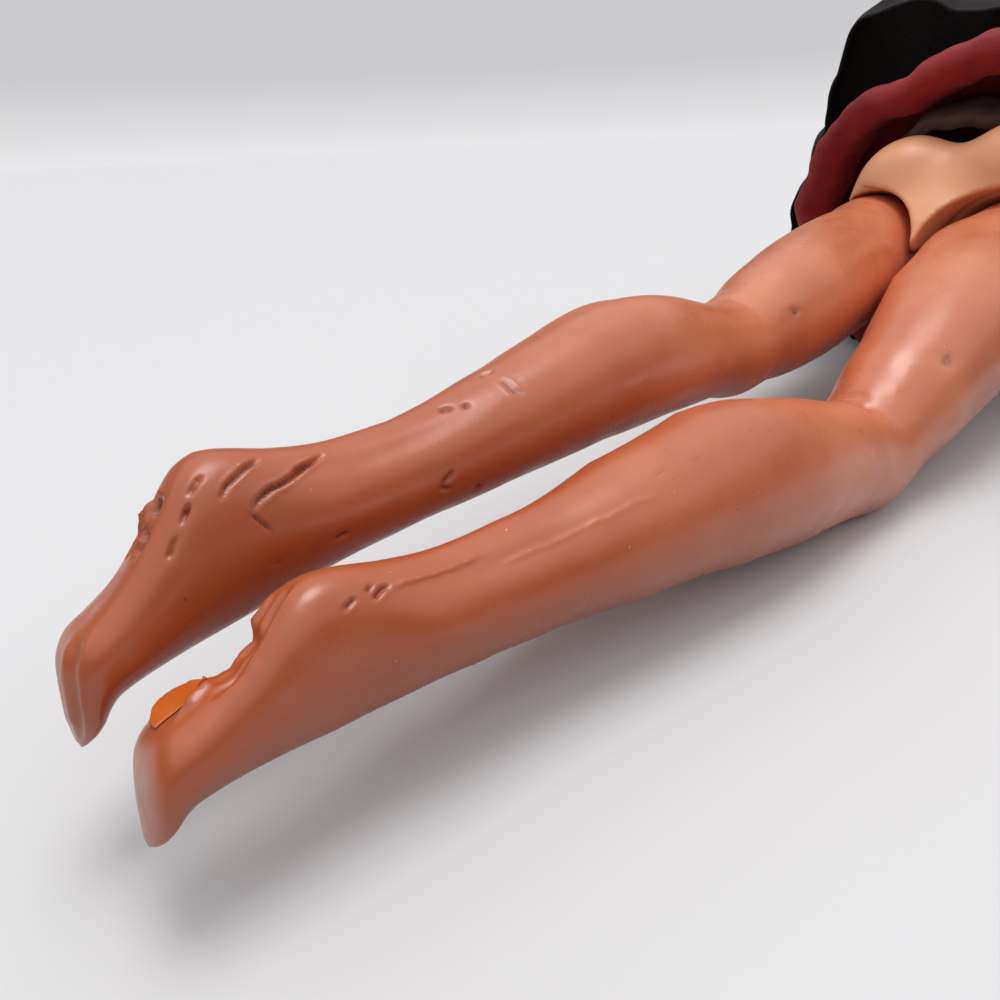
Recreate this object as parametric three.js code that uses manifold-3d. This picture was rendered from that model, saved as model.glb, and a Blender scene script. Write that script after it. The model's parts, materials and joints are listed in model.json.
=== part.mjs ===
// Fashion doll at one sixth scale: swivel head, turning arms, twist waist, hinged hips and
// clicking bent knees, in a strapless party dress. Millimetres and degrees, +Z up.
// The doll lies face down with its head towards +Y and its feet towards -Y. Its right side is +X.
// Pieces are drawn on a standing doll (x to its right, y to its front, z up from the hip line),
// and one group then lays the whole doll down.
import * as THREE from 'three';
import { mergeVertices } from 'three/addons/utils/BufferGeometryUtils.js';
import Module from 'manifold-3d';

const wasm = await Module();
wasm.setup();

// Driving dimensions of the body
const hipLineHeight = 152;
const hipHalfSpacing = 12.3;
const hipBallRadius = 10.6;
const waistHeight = 35;
const waistHalfWidth = 14.4;
const waistHalfDepth = 10.2;
const chestHalfWidth = 18.6;
const shoulderHeight = 84;
const shoulderFace = 20.3;
const shoulderRadius = 5.4;
const neckRadius = 4.8;
const neckTop = 104;
const headHeight = 37;
const headHalfWidth = 12.6;
const hairThickness = 3.4;
const faceHalfHeight = 15.4;
const faceDepth = 18;
const faceForward = 17;
const armLength = 96;
const kneeHeight = 92.5;
const kneeHalfWidth = 7.5;
const thighHalfWidth = 10.6;
const calfHeight = 67.5;
const calfHalfWidth = 8.4;
const ankleHeight = 25.6;
const ankleHalfWidth = 4.9;
const heelHeight = 14;
const heelBack = 6.1;
const ballHeight = 2;
const toeReach = 9.8;
const toeRise = 3.2;

// Walls, bores and clearances
const plasticWall = 1.6;
const gap = 0.3;
const runningGap = 0.45;
const swingGap = 0.6;
const boneRadius = 1.9;
const axleRadius = 2;
const axleHeadThickness = 1.4;
const kneePinRadius = 1;
const hipEyeRadius = 4.6;
const kneeEyeRadius = 4;
const eyeWidth = 3.8;
const kneeCavityRadius = 5.4;
const kneeThroughRadius = 4.4;
const forkEar = 1.2;
const forkDepth = 3;
const kneeSkinHalfLength = 6.6;
const spindleRadius = 3.6;
const spindleFlangeRadius = 7.4;
const flangeThickness = 1.5;
const plugRadius = 2.6;
const plugFlangeRadius = 3.8;
const plugReach = 8;
const neckFlangeRadius = 5.2;
const neckKnobRadius = 5.9;
const neckSocketDepth = 8;
const napeDepth = 10;

// Dress
const fabric = 0.8;
const bodiceTop = 73;
const waistbandHeight = 6.5;
const waistbandThickness = 1;
const hemRadius = 32;
const hemStation = 8;
const hemLift = 6.5;
const hemRoll = 5.5;
const clothSpacing = 1;
const overTierRadius = 39;
const snapRadius = 1.7;
const snapThickness = 0.6;
const snapSpacing = 11;
const snapCount = 3;

// Pose, as the doll lies in the photograph
const hipHeight = 24.7;
const bodyPitch = 11.6;
const armDrop = 37.2;
const armSplay = 20;
const legPose = {
  right: { flex: 4.0, spread: 3.3, turn: -14.1, knee: 21.4 },
  left: { flex: -6.9, spread: -4.9, turn: 10.9, knee: 4.9 },
};
const hipForward = 85;
const hipBack = 20;

const rad = THREE.MathUtils.degToRad;

// Materials
const finish = (color, roughness, metalness = 0) =>
  new THREE.MeshStandardMaterial({ color, roughness, metalness });
const legVinyl = () => finish('#c8714f', 0.42);
const bodyPlastic = () => finish('#dda07c', 0.5);
const armVinyl = () => finish('#d99874', 0.48);
const bonePlastic = () => finish('#e6dfd0', 0.55);
const steel = () => finish('#b9bcc0', 0.3, 1);
const redCloth = () => finish('#7e1f22', 0.7);
const blackCloth = () => finish('#15100f', 0.85);
const hairFibre = () => finish('#4a2a18', 0.6);

// Interpolates every channel of a list of stations at height z with a smooth cubic
function blendStations(stations, z) {
  const last = stations.length - 2;
  let i = 0;
  while (i < last && (stations[i + 1].z - z) * (stations[last + 1].z - stations[0].z) < 0) i += 1;
  const a = stations[i];
  const b = stations[i + 1];
  const before = stations[Math.max(i - 1, 0)];
  const after = stations[Math.min(i + 2, last + 1)];
  const span = b.z - a.z;
  const t = (z - a.z) / span;
  const result = { z };
  for (const key of Object.keys(a)) {
    if (key === 'z') continue;
    const slopeA = i === 0 ? (b[key] - a[key]) / span : (b[key] - before[key]) / (b.z - before.z);
    const slopeB = i === last ? (b[key] - a[key]) / span : (after[key] - a[key]) / (after.z - a.z);
    const h1 = 2 * t ** 3 - 3 * t ** 2 + 1;
    const h2 = t ** 3 - 2 * t ** 2 + t;
    const h3 = -2 * t ** 3 + 3 * t ** 2;
    const h4 = t ** 3 - t ** 2;
    result[key] = h1 * a[key] + h2 * span * slopeA + h3 * b[key] + h4 * span * slopeB;
  }
  return result;
}

// Heights from the first to the last station, with the stations' own heights and extra steps
function stationHeights(stations, steps) {
  const heights = [];
  for (let i = 0; i < stations.length - 1; i += 1) {
    for (let k = 0; k < steps; k += 1) {
      heights.push(stations[i].z + ((stations[i + 1].z - stations[i].z) * k) / steps);
    }
  }
  heights.push(stations[stations.length - 1].z);
  return heights;
}

// An oval section: half width w about x, from y = back to y = front
function ovalRing(s, sides) {
  const ring = [];
  for (let k = 0; k < sides; k += 1) {
    const angle = (2 * Math.PI * k) / sides;
    const middle = (s.front + s.back) / 2;
    const depth = (s.front - s.back) / 2;
    ring.push(new THREE.Vector3((s.x ?? 0) + s.w * Math.cos(angle), middle + depth * Math.sin(angle), s.z));
  }
  return ring;
}

// Signed volume of an indexed geometry
function signedVolume(position, index) {
  const a = new THREE.Vector3();
  const b = new THREE.Vector3();
  const c = new THREE.Vector3();
  let volume = 0;
  for (let i = 0; i < index.length; i += 3) {
    a.fromArray(position, 3 * index[i]);
    b.fromArray(position, 3 * index[i + 1]);
    c.fromArray(position, 3 * index[i + 2]);
    volume += a.dot(b.cross(c)) / 6;
  }
  return volume;
}

// An indexed geometry with its faces turned outwards
function outwardGeometry(position, index) {
  if (signedVolume(position, index) < 0) {
    for (let i = 0; i < index.length; i += 3) [index[i], index[i + 1]] = [index[i + 1], index[i]];
  }
  const geometry = new THREE.BufferGeometry();
  geometry.setAttribute('position', new THREE.Float32BufferAttribute(position, 3));
  geometry.setIndex(index);
  return geometry;
}

// A closed skin over rings of equal count, with a fan at each end
function loft(rings) {
  const sides = rings[0].length;
  const position = [];
  const index = [];
  for (const ring of rings) for (const p of ring) position.push(p.x, p.y, p.z);
  for (let i = 0; i < rings.length - 1; i += 1) {
    for (let k = 0; k < sides; k += 1) {
      const a = i * sides + k;
      const b = i * sides + ((k + 1) % sides);
      index.push(a, b, b + sides, a, b + sides, a + sides);
    }
  }
  for (const end of [0, rings.length - 1]) {
    const centre = new THREE.Vector3();
    for (const p of rings[end]) centre.addScaledVector(p, 1 / sides);
    const hub = position.length / 3;
    position.push(centre.x, centre.y, centre.z);
    for (let k = 0; k < sides; k += 1) {
      const a = end * sides + k;
      const b = end * sides + ((k + 1) % sides);
      if (end === 0) index.push(hub, b, a);
      else index.push(hub, a, b);
    }
  }
  return outwardGeometry(position, index);
}

// A closed ring of cloth or wall: each section is a closed loop, and the last meets the first
function ringLoft(sections) {
  const sides = sections[0].length;
  const position = [];
  const index = [];
  for (const section of sections) for (const p of section) position.push(p.x, p.y, p.z);
  for (let i = 0; i < sections.length; i += 1) {
    const next = (i + 1) % sections.length;
    for (let k = 0; k < sides; k += 1) {
      const a = i * sides + k;
      const b = i * sides + ((k + 1) % sides);
      const c = next * sides + ((k + 1) % sides);
      const d = next * sides + k;
      index.push(a, b, c, a, c, d);
    }
  }
  return outwardGeometry(position, index);
}

function limb(stations, steps, sides) {
  return loft(stationHeights(stations, steps).map((z) => ovalRing(blendStations(stations, z), sides)));
}

// Solids for joining and cutting
function solid(geometry, matrix) {
  const bare = geometry.clone();
  for (const name of ['normal', 'uv']) bare.deleteAttribute(name);
  if (matrix) bare.applyMatrix4(matrix);
  const merged = mergeVertices(bare, 1e-5);
  return new wasm.Manifold(
    new wasm.Mesh({
      numProp: 3,
      vertProperties: new Float32Array(merged.attributes.position.array),
      triVerts: new Uint32Array(merged.index.array),
    }),
  );
}

function geometryOf(manifold) {
  const mesh = manifold.getMesh();
  const geometry = new THREE.BufferGeometry();
  geometry.setAttribute('position', new THREE.BufferAttribute(mesh.vertProperties, 3));
  geometry.setIndex(new THREE.BufferAttribute(mesh.triVerts, 1));
  return geometry;
}

const at = (x, y, z) => new THREE.Matrix4().makeTranslation(x, y, z);

// A cylinder along x, y or z, centred on a point
function rod(axis, radius, length, centre, sides = 14) {
  const geometry = new THREE.CylinderGeometry(radius, radius, length, sides);
  if (axis === 'x') geometry.rotateZ(Math.PI / 2);
  if (axis === 'z') geometry.rotateX(Math.PI / 2);
  geometry.translate(centre.x, centre.y, centre.z);
  return geometry;
}

// A cylinder from one point to another
function strut(from, to, radius, sides = 10) {
  const direction = to.clone().sub(from);
  const geometry = new THREE.CylinderGeometry(radius, radius, direction.length(), sides);
  const turn = new THREE.Quaternion().setFromUnitVectors(new THREE.Vector3(0, 1, 0), direction.clone().normalize());
  geometry.applyQuaternion(turn);
  geometry.translate((from.x + to.x) / 2, (from.y + to.y) / 2, (from.z + to.z) / 2);
  return geometry;
}

function ellipsoid(rx, ry, rz, centre, sides = 20, rows = 12) {
  const geometry = new THREE.SphereGeometry(1, sides, rows);
  geometry.scale(rx, ry, rz);
  geometry.translate(centre.x, centre.y, centre.z);
  return geometry;
}

function block(x0, x1, y0, y1, z0, z1) {
  const geometry = new THREE.BoxGeometry(x1 - x0, y1 - y0, z1 - z0);
  geometry.translate((x0 + x1) / 2, (y0 + y1) / 2, (z0 + z1) / 2);
  return geometry;
}

// A turned piece about z: points are [radius, height] from axis to axis
function turned(points, sides = 16) {
  const geometry = new THREE.LatheGeometry(points.map(([r, z]) => new THREE.Vector2(r, z)), sides);
  geometry.rotateX(Math.PI / 2);
  const merged = mergeVertices(stripped(geometry), 1e-5);
  return outwardGeometry(Array.from(merged.attributes.position.array), withoutSlivers(merged));
}

function stripped(geometry) {
  for (const name of ['normal', 'uv']) geometry.deleteAttribute(name);
  return geometry;
}

// The triangles of a merged geometry that have three different corners
function withoutSlivers(geometry) {
  const kept = [];
  const index = geometry.index.array;
  for (let i = 0; i < index.length; i += 3) {
    const [a, b, c] = [index[i], index[i + 1], index[i + 2]];
    if (a !== b && b !== c && a !== c) kept.push(a, b, c);
  }
  return kept;
}

function piece(name, geometry, material, parent) {
  const mesh = new THREE.Mesh(geometry, material);
  mesh.name = name;
  geometry.computeVertexNormals();
  parent.add(mesh);
  return mesh;
}

// Groups: the doll is laid face down, its legs hang from the hips and its arms from the shoulders
const doll = new THREE.Group();
const body = new THREE.Group();
body.position.z = hipHeight;
body.rotation.x = rad(bodyPitch - 90);
doll.add(body);

const sides = [
  { name: 'right', sign: 1 },
  { name: 'left', sign: -1 },
];

// Leg outline on the right leg: stations down from the hip, y = 0 at the hip pivot
const legStations = [
  { z: 0, x: 0, w: hipBallRadius, back: -hipBallRadius, front: hipBallRadius },
  { z: -12, x: -0.2, w: thighHalfWidth, back: -thighHalfWidth - 0.3, front: thighHalfWidth - 0.2 },
  { z: -34, x: -0.6, w: thighHalfWidth - 0.2, back: 0.4 - thighHalfWidth, front: thighHalfWidth },
  { z: -47, x: -0.9, w: kneeHalfWidth + 1.4, back: -8.6, front: 9.7 },
  { z: kneeHeight - hipLineHeight + 7, x: -1.1, w: kneeHalfWidth + 0.4, back: -7.3, front: 8.9 },
  { z: kneeHeight - hipLineHeight, x: -1.3, w: kneeHalfWidth, back: -6.9, front: 8.4 },
  { z: kneeHeight - hipLineHeight - 7, x: -1.4, w: kneeHalfWidth + 0.1, back: -7.6, front: 7.7 },
  { z: calfHeight - hipLineHeight + 6, x: -1.6, w: calfHalfWidth - 0.1, back: -9.9, front: 6.9 },
  { z: calfHeight - hipLineHeight - 2, x: -1.7, w: calfHalfWidth, back: -10.3, front: 6.6 },
  { z: -96, x: -1.9, w: calfHalfWidth - 0.7, back: -8.9, front: 6.2 },
  { z: -108, x: -2.1, w: ankleHalfWidth + 1.6, back: -6.5, front: 5.8 },
  { z: -117, x: -2.2, w: ankleHalfWidth + 0.6, back: -4.9, front: 5.7 },
  { z: ankleHeight - hipLineHeight, x: -2.3, w: ankleHalfWidth, back: -4.3, front: 5.7 },
  { z: ankleHeight - hipLineHeight - 6, x: -2.3, w: 4.3, back: -5.0, front: 6.1 },
  { z: heelHeight - hipLineHeight, x: -2.3, w: 3.7, back: -heelBack, front: 6.6 },
  { z: heelHeight - hipLineHeight - 4, x: -2.3, w: 3.8, back: -4.0, front: 7.0 },
  { z: 5 - hipLineHeight, x: -2.3, w: 4.0, back: -0.4, front: 7.4 },
  { z: toeRise - hipLineHeight, x: -2.3, w: 4.1, back: 0.9, front: 7.8 },
  { z: ballHeight - hipLineHeight, x: -2.3, w: 4.0, back: 1.9, front: 8.7 },
  { z: 1 - hipLineHeight, x: -2.3, w: 3.4, back: 4.9, front: 9.3 },
  { z: 0.1 - hipLineHeight, x: -2.3, w: 1.6, back: toeReach - 1.4, front: toeReach },
];
const knee = new THREE.Vector3(-1.3, 0.5, kneeHeight - hipLineHeight);
const legSides = 20;

// Thigh from its ball top down to a height
function thighLoft(end) {
  const rings = [];
  const domeRows = 5;
  for (let i = 0; i < domeRows; i += 1) {
    const angle = rad(84 - (84 * i) / domeRows);
    const radius = hipBallRadius * Math.cos(angle);
    rings.push(ovalRing({ z: hipBallRadius * Math.sin(angle), w: radius, back: -radius, front: radius }, legSides));
  }
  const rows = 7;
  for (let i = 0; i <= rows; i += 1) {
    rings.push(ovalRing(blendStations(legStations, (end * i) / rows), legSides));
  }
  return loft(rings);
}

function mirrored(geometry, sign) {
  if (sign > 0) return geometry;
  const merged = mergeVertices(stripped(geometry.clone()), 1e-5);
  merged.scale(-1, 1, 1);
  return outwardGeometry(Array.from(merged.attributes.position.array), withoutSlivers(merged));
}

// Hinge fittings are turned so that their axles lie across the doll whatever way the leg is twisted
function acrossDoll(group) {
  const hardware = new THREE.Group();
  group.add(hardware);
  doll.updateMatrixWorld(true);
  const turn = new THREE.Quaternion();
  group.getWorldQuaternion(turn);
  const axis = new THREE.Vector3(1, 0, 0).applyQuaternion(turn.clone().invert());
  hardware.quaternion.setFromUnitVectors(new THREE.Vector3(1, 0, 0), axis);
  hardware.updateMatrix();
  return hardware;
}

function addLeg({ name, sign }) {
  const pose = legPose[name];
  const hip = new THREE.Group();
  hip.name = `hip_pivot_${name}`;
  hip.position.set(sign * hipHalfSpacing, 0, 0);
  hip.rotation.set(rad(pose.flex), -sign * rad(pose.spread), sign * rad(pose.turn), 'YXZ');
  body.add(hip);
  const hinge = new THREE.Group();
  hinge.name = `knee_pivot_${name}`;
  hinge.position.set(sign * knee.x, knee.y, knee.z);
  hinge.rotation.x = -rad(pose.knee);
  hip.add(hinge);
  const hipFitting = acrossDoll(hip);
  const kneeFitting = acrossDoll(hinge);
  const kneeAt = new THREE.Vector3(sign * knee.x, knee.y, knee.z);
  const pivotPoint = new THREE.Vector3();
  const toHinge = at(-kneeAt.x, -kneeAt.y, -kneeAt.z);
  const boneBore = boneRadius + gap;

  // Thigh skin: ball top and swelling thigh, hollow for the bone
  const thighEnd = kneeAt.z + kneeSkinHalfLength + gap;
  const thighBore = strut(pivotPoint, kneeAt, boneBore);
  const eyeSeat = rod('x', hipEyeRadius + gap, eyeWidth + 2 * gap, pivotPoint);
  const axleBore = rod('x', axleRadius + gap, hipBallRadius + 8, new THREE.Vector3(-sign * (hipBallRadius + 8) / 2, 0, 0));
  const headSeatLength = axleHeadThickness + 3 * gap;
  const headSeatAt = eyeWidth / 2 + gap + headSeatLength / 2;
  const headSeat = rod('x', axleRadius + 1 + gap, headSeatLength, new THREE.Vector3(sign * headSeatAt, 0, 0));
  let thigh = solid(mirrored(thighLoft(thighEnd), sign));
  thigh = thigh.subtract(solid(thighBore));
  for (const cut of [eyeSeat, axleBore, headSeat]) {
    thigh = thigh.subtract(solid(cut, hipFitting.matrix));
  }
  const kneeCavity = ellipsoid(kneeCavityRadius, kneeCavityRadius, kneeCavityRadius + 3, kneeAt, 12, 8);
  thigh = thigh.subtract(solid(kneeCavity));
  piece(`thigh_skin_${name}`, geometryOf(thigh), legVinyl(), hip);

  // Knee skin: the soft part of the vinyl that folds when the knee bends
  const kneeTop = kneeAt.z + kneeSkinHalfLength;
  const kneeRings = [];
  const kneeSteps = 4;
  for (let i = 0; i <= kneeSteps; i += 1) {
    const t = i / kneeSteps;
    const z = kneeTop - 2 * kneeSkinHalfLength * t;
    const bend = -rad(pose.knee) * t;
    const ring = ovalRing(blendStations(legStations, z), legSides);
    for (const p of ring) {
      const turnedPoint = new THREE.Vector3(p.x - knee.x, p.y - knee.y, p.z - knee.z);
      turnedPoint.applyAxisAngle(new THREE.Vector3(1, 0, 0), bend);
      p.set(turnedPoint.x + knee.x, turnedPoint.y + knee.y, turnedPoint.z + knee.z);
    }
    kneeRings.push(ring);
  }
  let kneeSkin = solid(mirrored(loft(kneeRings), sign));
  kneeSkin = kneeSkin.subtract(solid(kneeCavity));
  const throughLength = 2 * kneeSkinHalfLength;
  const throughUp = rod('z', kneeThroughRadius, throughLength, new THREE.Vector3(0, 0, throughLength / 2));
  const throughDown = rod('z', kneeThroughRadius, throughLength, new THREE.Vector3(0, 0, -throughLength / 2));
  const hingeMatrix = new THREE.Matrix4().makeRotationX(-rad(pose.knee)).setPosition(kneeAt);
  kneeSkin = kneeSkin.subtract(solid(throughUp, at(kneeAt.x, kneeAt.y, kneeAt.z)));
  kneeSkin = kneeSkin.subtract(solid(throughDown, hingeMatrix));
  piece(`knee_skin_${name}`, geometryOf(kneeSkin), legVinyl(), hip);

  // Shin skin: calf, ankle and tiptoe foot in one moulding
  const shinTop = kneeAt.z - kneeSkinHalfLength - gap;
  const toeTip = legStations[legStations.length - 1].z;
  const calfPart = stationHeights(legStations, 1).filter((z) => z < shinTop - 1);
  const shinRings = [shinTop, ...calfPart].map((z) => ovalRing(blendStations(legStations, z), legSides));
  let shin = solid(mirrored(loft(shinRings), sign), toHinge);
  const boneEnd = new THREE.Vector3(-sign * 0.8, 0, toeTip - kneeAt.z + ankleHeight);
  const boreEnd = boneEnd.clone().multiplyScalar(1 + gap / boneEnd.length());
  shin = shin.subtract(solid(strut(pivotPoint, boreEnd, boneBore)));
  shin = shin.subtract(solid(ellipsoid(kneeCavityRadius, kneeCavityRadius, kneeCavityRadius + 3, pivotPoint, 12, 8)));
  piece(`shin_skin_${name}`, geometryOf(shin), legVinyl(), hinge);

  // Thigh bone: an eye on the hip axle, a shaft and an eye on the knee pin
  const thighEye = solid(rod('x', hipEyeRadius, eyeWidth, pivotPoint), hipFitting.matrix);
  const kneeMatrix = new THREE.Matrix4().makeTranslation(kneeAt.x, kneeAt.y, kneeAt.z);
  const fittingInHip = kneeMatrix.multiply(new THREE.Matrix4().makeRotationFromQuaternion(hipFitting.quaternion));
  const kneeEye = solid(rod('x', kneeEyeRadius, eyeWidth, pivotPoint), fittingInHip);
  let thighBone = solid(strut(pivotPoint, kneeAt, boneRadius)).add(thighEye).add(kneeEye);
  thighBone = thighBone.subtract(solid(rod('x', axleRadius + gap, 3 * eyeWidth, pivotPoint), hipFitting.matrix));
  thighBone = thighBone.subtract(solid(rod('x', kneePinRadius + gap, 3 * eyeWidth, pivotPoint), fittingInHip));
  piece(`thigh_bone_${name}`, geometryOf(thighBone), bonePlastic(), hip);

  // Shin bone: a fork round the thigh bone's knee eye, and a shaft down to the ankle
  const earOffset = eyeWidth / 2 + gap + forkEar / 2;
  const forkOuter = earOffset + forkEar / 2;
  const bridgeTop = -kneeEyeRadius - gap;
  const bridgeBase = bridgeTop - forkEar;
  const downShin = kneeFitting.matrix;
  let shinBone = solid(strut(new THREE.Vector3(0, 0, bridgeTop - forkEar / 2), boneEnd, boneRadius));
  const bridge = block(-forkOuter, forkOuter, -forkDepth / 2, forkDepth / 2, bridgeBase, bridgeTop);
  shinBone = shinBone.add(solid(bridge, downShin));
  for (const side of [-1, 1]) {
    const x = side * earOffset;
    const cheek = block(x - forkEar / 2, x + forkEar / 2, -forkDepth / 2, forkDepth / 2, bridgeBase, 0);
    const eye = rod('x', forkDepth / 2, forkEar, new THREE.Vector3(x, 0, 0));
    shinBone = shinBone.add(solid(cheek, downShin)).add(solid(eye, downShin));
  }
  const throughBones = 3 * forkOuter;
  shinBone = shinBone.subtract(solid(rod('x', kneePinRadius + gap, throughBones, pivotPoint), downShin));
  piece(`shin_bone_${name}`, geometryOf(shinBone), bonePlastic(), hinge);

  // Knee pin: a steel pin through the fork and the eye
  const pinLength = 2 * (forkOuter + gap);
  piece(`knee_pin_${name}`, rod('x', kneePinRadius, pinLength, pivotPoint), steel(), kneeFitting);
}

for (const side of sides) addLeg(side);

// Hip axle: one rod through the pelvis web, with a head in each thigh
const axleReach = hipHalfSpacing + Math.max(boneRadius, eyeWidth / 2) + gap + axleHeadThickness;
let hipAxle = solid(rod('x', axleRadius, 2 * axleReach, new THREE.Vector3()));
for (const { sign } of sides) {
  const headAt = new THREE.Vector3(sign * (axleReach - axleHeadThickness / 2), 0, 0);
  hipAxle = hipAxle.add(solid(rod('x', axleRadius + 1, axleHeadThickness, headAt)));
}
piece('hip_axle', geometryOf(hipAxle), steel(), body);

// Outline of the lower body, from the crotch up to the waist joint
const pelvisStations = [
  { z: -13, w: 4, back: -6, front: 5 },
  { z: -8, w: 12, back: -10, front: 8 },
  { z: 0, w: 18.6, back: -14, front: 9.6 },
  { z: 8, w: 20.2, back: -14.6, front: 10.4 },
  { z: 16, w: 18.8, back: -12.6, front: 11 },
  { z: 25, w: 16.2, back: -10.4, front: 10.9 },
  { z: waistHeight - gap / 2, w: waistHalfWidth, back: 0.2 - waistHalfDepth, front: waistHalfDepth },
];

function inset(stations, wall) {
  return stations.map((s) => ({ ...s, w: s.w - wall, back: s.back + wall, front: s.front - wall }));
}

// The space that a thigh sweeps as it swings, drawn out from the hip by a running gap
function thighSweep({ name, sign }) {
  const pose = legPose[name];
  const reach = hipBallRadius + runningGap;
  const depthReach = thighHalfWidth + 0.3 + swingGap;
  const far = 46;
  const slices = 12;
  const arcSteps = 6;
  const outside = 1 / Math.cos(Math.PI / (2 * slices));
  const rings = [];
  for (let i = 0; i <= slices; i += 1) {
    const phase = (Math.PI * i) / slices;
    const across = -reach * outside * Math.cos(phase);
    const half = depthReach * outside * Math.max(Math.sin(phase), 0.02);
    const ring = [];
    const start = rad(-hipBack);
    const stop = rad(hipForward);
    const add = (y, z) => {
      const lean = Math.tan(rad(pose.spread)) * Math.hypot(y, z);
      ring.push(new THREE.Vector3(sign * (hipHalfSpacing + across + lean), y, z));
    };
    const outward = (angle) => [Math.sin(angle), -Math.cos(angle)];
    for (let k = 0; k <= arcSteps; k += 1) {
      const angle = start + ((stop - start) * k) / arcSteps;
      const [y, z] = outward(angle);
      const side = k === 0 ? -1 : k === arcSteps ? 1 : 0;
      const [sy, sz] = outward(angle + (side * Math.PI) / 2);
      add(y * far + sy * half, z * far + sz * half);
    }
    for (let k = 0; k <= arcSteps; k += 1) {
      const angle = stop + Math.PI / 2 + ((Math.PI - (stop - start)) * k) / arcSteps;
      const [y, z] = outward(angle);
      add(y * half, z * half);
    }
    rings.push(ring);
  }
  return loft(rings);
}

const wide = 80;
const frontHalf = block(-wide, wide, gap / 2, wide, -wide, 2 * wide);
const backHalf = block(-wide, wide, -wide, -gap / 2, -wide, 2 * wide);

// Lower body: two hollow half shells round a web that carries the hip axle
let pelvis = solid(limb(pelvisStations, 2, 24));
const pelvisHollow = limb(inset(pelvisStations, plasticWall).filter((s) => s.z > 10 && s.z < 30), 1, 16);
pelvis = pelvis.subtract(solid(pelvisHollow));
pelvis = pelvis.subtract(solid(rod('z', spindleRadius + runningGap, 30, new THREE.Vector3(0, 0, waistHeight))));
for (const side of sides) pelvis = pelvis.subtract(solid(thighSweep(side)));
pelvis = pelvis.subtract(solid(rod('x', axleRadius + gap, wide, new THREE.Vector3())));
piece('pelvis_front_shell', geometryOf(pelvis.intersect(solid(frontHalf))), bodyPlastic(), body);
piece('pelvis_back_shell', geometryOf(pelvis.intersect(solid(backHalf))), bodyPlastic(), body);

// Chest outline, from the waist joint to the neck
const chestStations = [
  { z: waistHeight + gap / 2, w: waistHalfWidth, back: 0.2 - waistHalfDepth, front: waistHalfDepth },
  { z: 42, w: waistHalfWidth + 0.2, back: -9.4, front: 10.4 },
  { z: 52, w: waistHalfWidth + 1.8, back: -10.2, front: 11.6 },
  { z: 64, w: chestHalfWidth - 0.7, back: -10.9, front: 12.4 },
  { z: 74, w: chestHalfWidth + 0.4, back: -11, front: 12 },
  { z: shoulderHeight, w: chestHalfWidth + 2.2, back: -9.4, front: 9.4 },
  { z: shoulderHeight + 5.4, w: chestHalfWidth - 2.6, back: -7.6, front: 7.4 },
  { z: shoulderHeight + 8.6, w: 9.2, back: -6.2, front: 6 },
  { z: shoulderHeight + 10.4, w: neckRadius + 0.8, back: -neckRadius - 0.8, front: neckRadius + 0.6 },
];
const bustHeight = 67;
const bustSpread = 8.2;
const bustRadius = 8.2;
const chestHollowStations = inset(chestStations, plasticWall).filter((s) => s.z > waistHeight + 3 && s.z < shoulderHeight + 6);
let chest = solid(limb(chestStations, 1, 24));
for (const { sign } of sides) {
  const centre = new THREE.Vector3(sign * bustSpread, 10.2, bustHeight);
  chest = chest.add(solid(ellipsoid(bustRadius, bustRadius + 1.2, bustRadius, centre, 14, 8)));
}
chest = chest.intersect(solid(block(-shoulderFace, shoulderFace, -wide, wide, 0, 2 * wide)));
chest = chest.subtract(solid(limb(chestHollowStations, 1, 16)));
chest = chest.subtract(solid(rod('z', spindleRadius + gap, 24, new THREE.Vector3(0, 0, waistHeight))));
const neckBase = shoulderHeight + 10.4 + gap;
const chestCeiling = chestHollowStations[chestHollowStations.length - 1].z;
const neckMiddle = new THREE.Vector3(0, 0, (chestCeiling + neckBase) / 2);
const neckPassage = neckBase - chestCeiling + 4 * gap;
chest = chest.subtract(solid(rod('z', neckRadius - 1 + gap, neckPassage, neckMiddle)));
chest = chest.subtract(solid(rod('x', plugRadius + runningGap, 80, new THREE.Vector3(0, 0, shoulderHeight))));
piece('chest_front_shell', geometryOf(chest.intersect(solid(frontHalf))), bodyPlastic(), body);
piece('chest_back_shell', geometryOf(chest.intersect(solid(backHalf))), bodyPlastic(), body);

// Waist spindle: a flanged post that joins the two halves of the body and lets them twist
const chestFloor = chestHollowStations[0].z;
const pelvisCeiling = pelvisStations[5].z;
const spindle = turned([
  [0, pelvisCeiling - gap - flangeThickness],
  [spindleFlangeRadius, pelvisCeiling - gap - flangeThickness],
  [spindleFlangeRadius, pelvisCeiling - gap],
  [spindleRadius, pelvisCeiling - gap],
  [spindleRadius, chestFloor + gap],
  [spindleFlangeRadius, chestFloor + gap],
  [spindleFlangeRadius, chestFloor + gap + flangeThickness],
  [0, chestFloor + gap + flangeThickness],
]);
piece('waist_spindle', spindle, bonePlastic(), body);

// Neck post: a flange inside the chest, the visible neck and a knob inside the head
const knobHeight = 5;
const neck = turned([
  [0, chestCeiling - gap - flangeThickness],
  [neckFlangeRadius, chestCeiling - gap - flangeThickness],
  [neckFlangeRadius, chestCeiling - gap],
  [neckRadius - 1, chestCeiling - gap],
  [neckRadius - 1, neckBase],
  [neckRadius + 0.5, neckBase],
  [neckRadius, neckBase + 3],
  [neckRadius, neckTop + 1],
  [neckRadius - 1, neckTop + 2],
  [neckRadius - 1, neckTop + 4],
  [neckKnobRadius, neckTop + 5],
  [neckKnobRadius - 0.6, neckTop + 5 + knobHeight - 1],
  [neckKnobRadius - 2.4, neckTop + 5 + knobHeight],
  [0, neckTop + 5 + knobHeight],
]);
piece('neck_post', neck, bodyPlastic(), body);

// Head: hollow vinyl, open at the neck
const headGroup = new THREE.Group();
headGroup.name = 'neck_pivot';
headGroup.position.z = neckTop;
body.add(headGroup);
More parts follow.
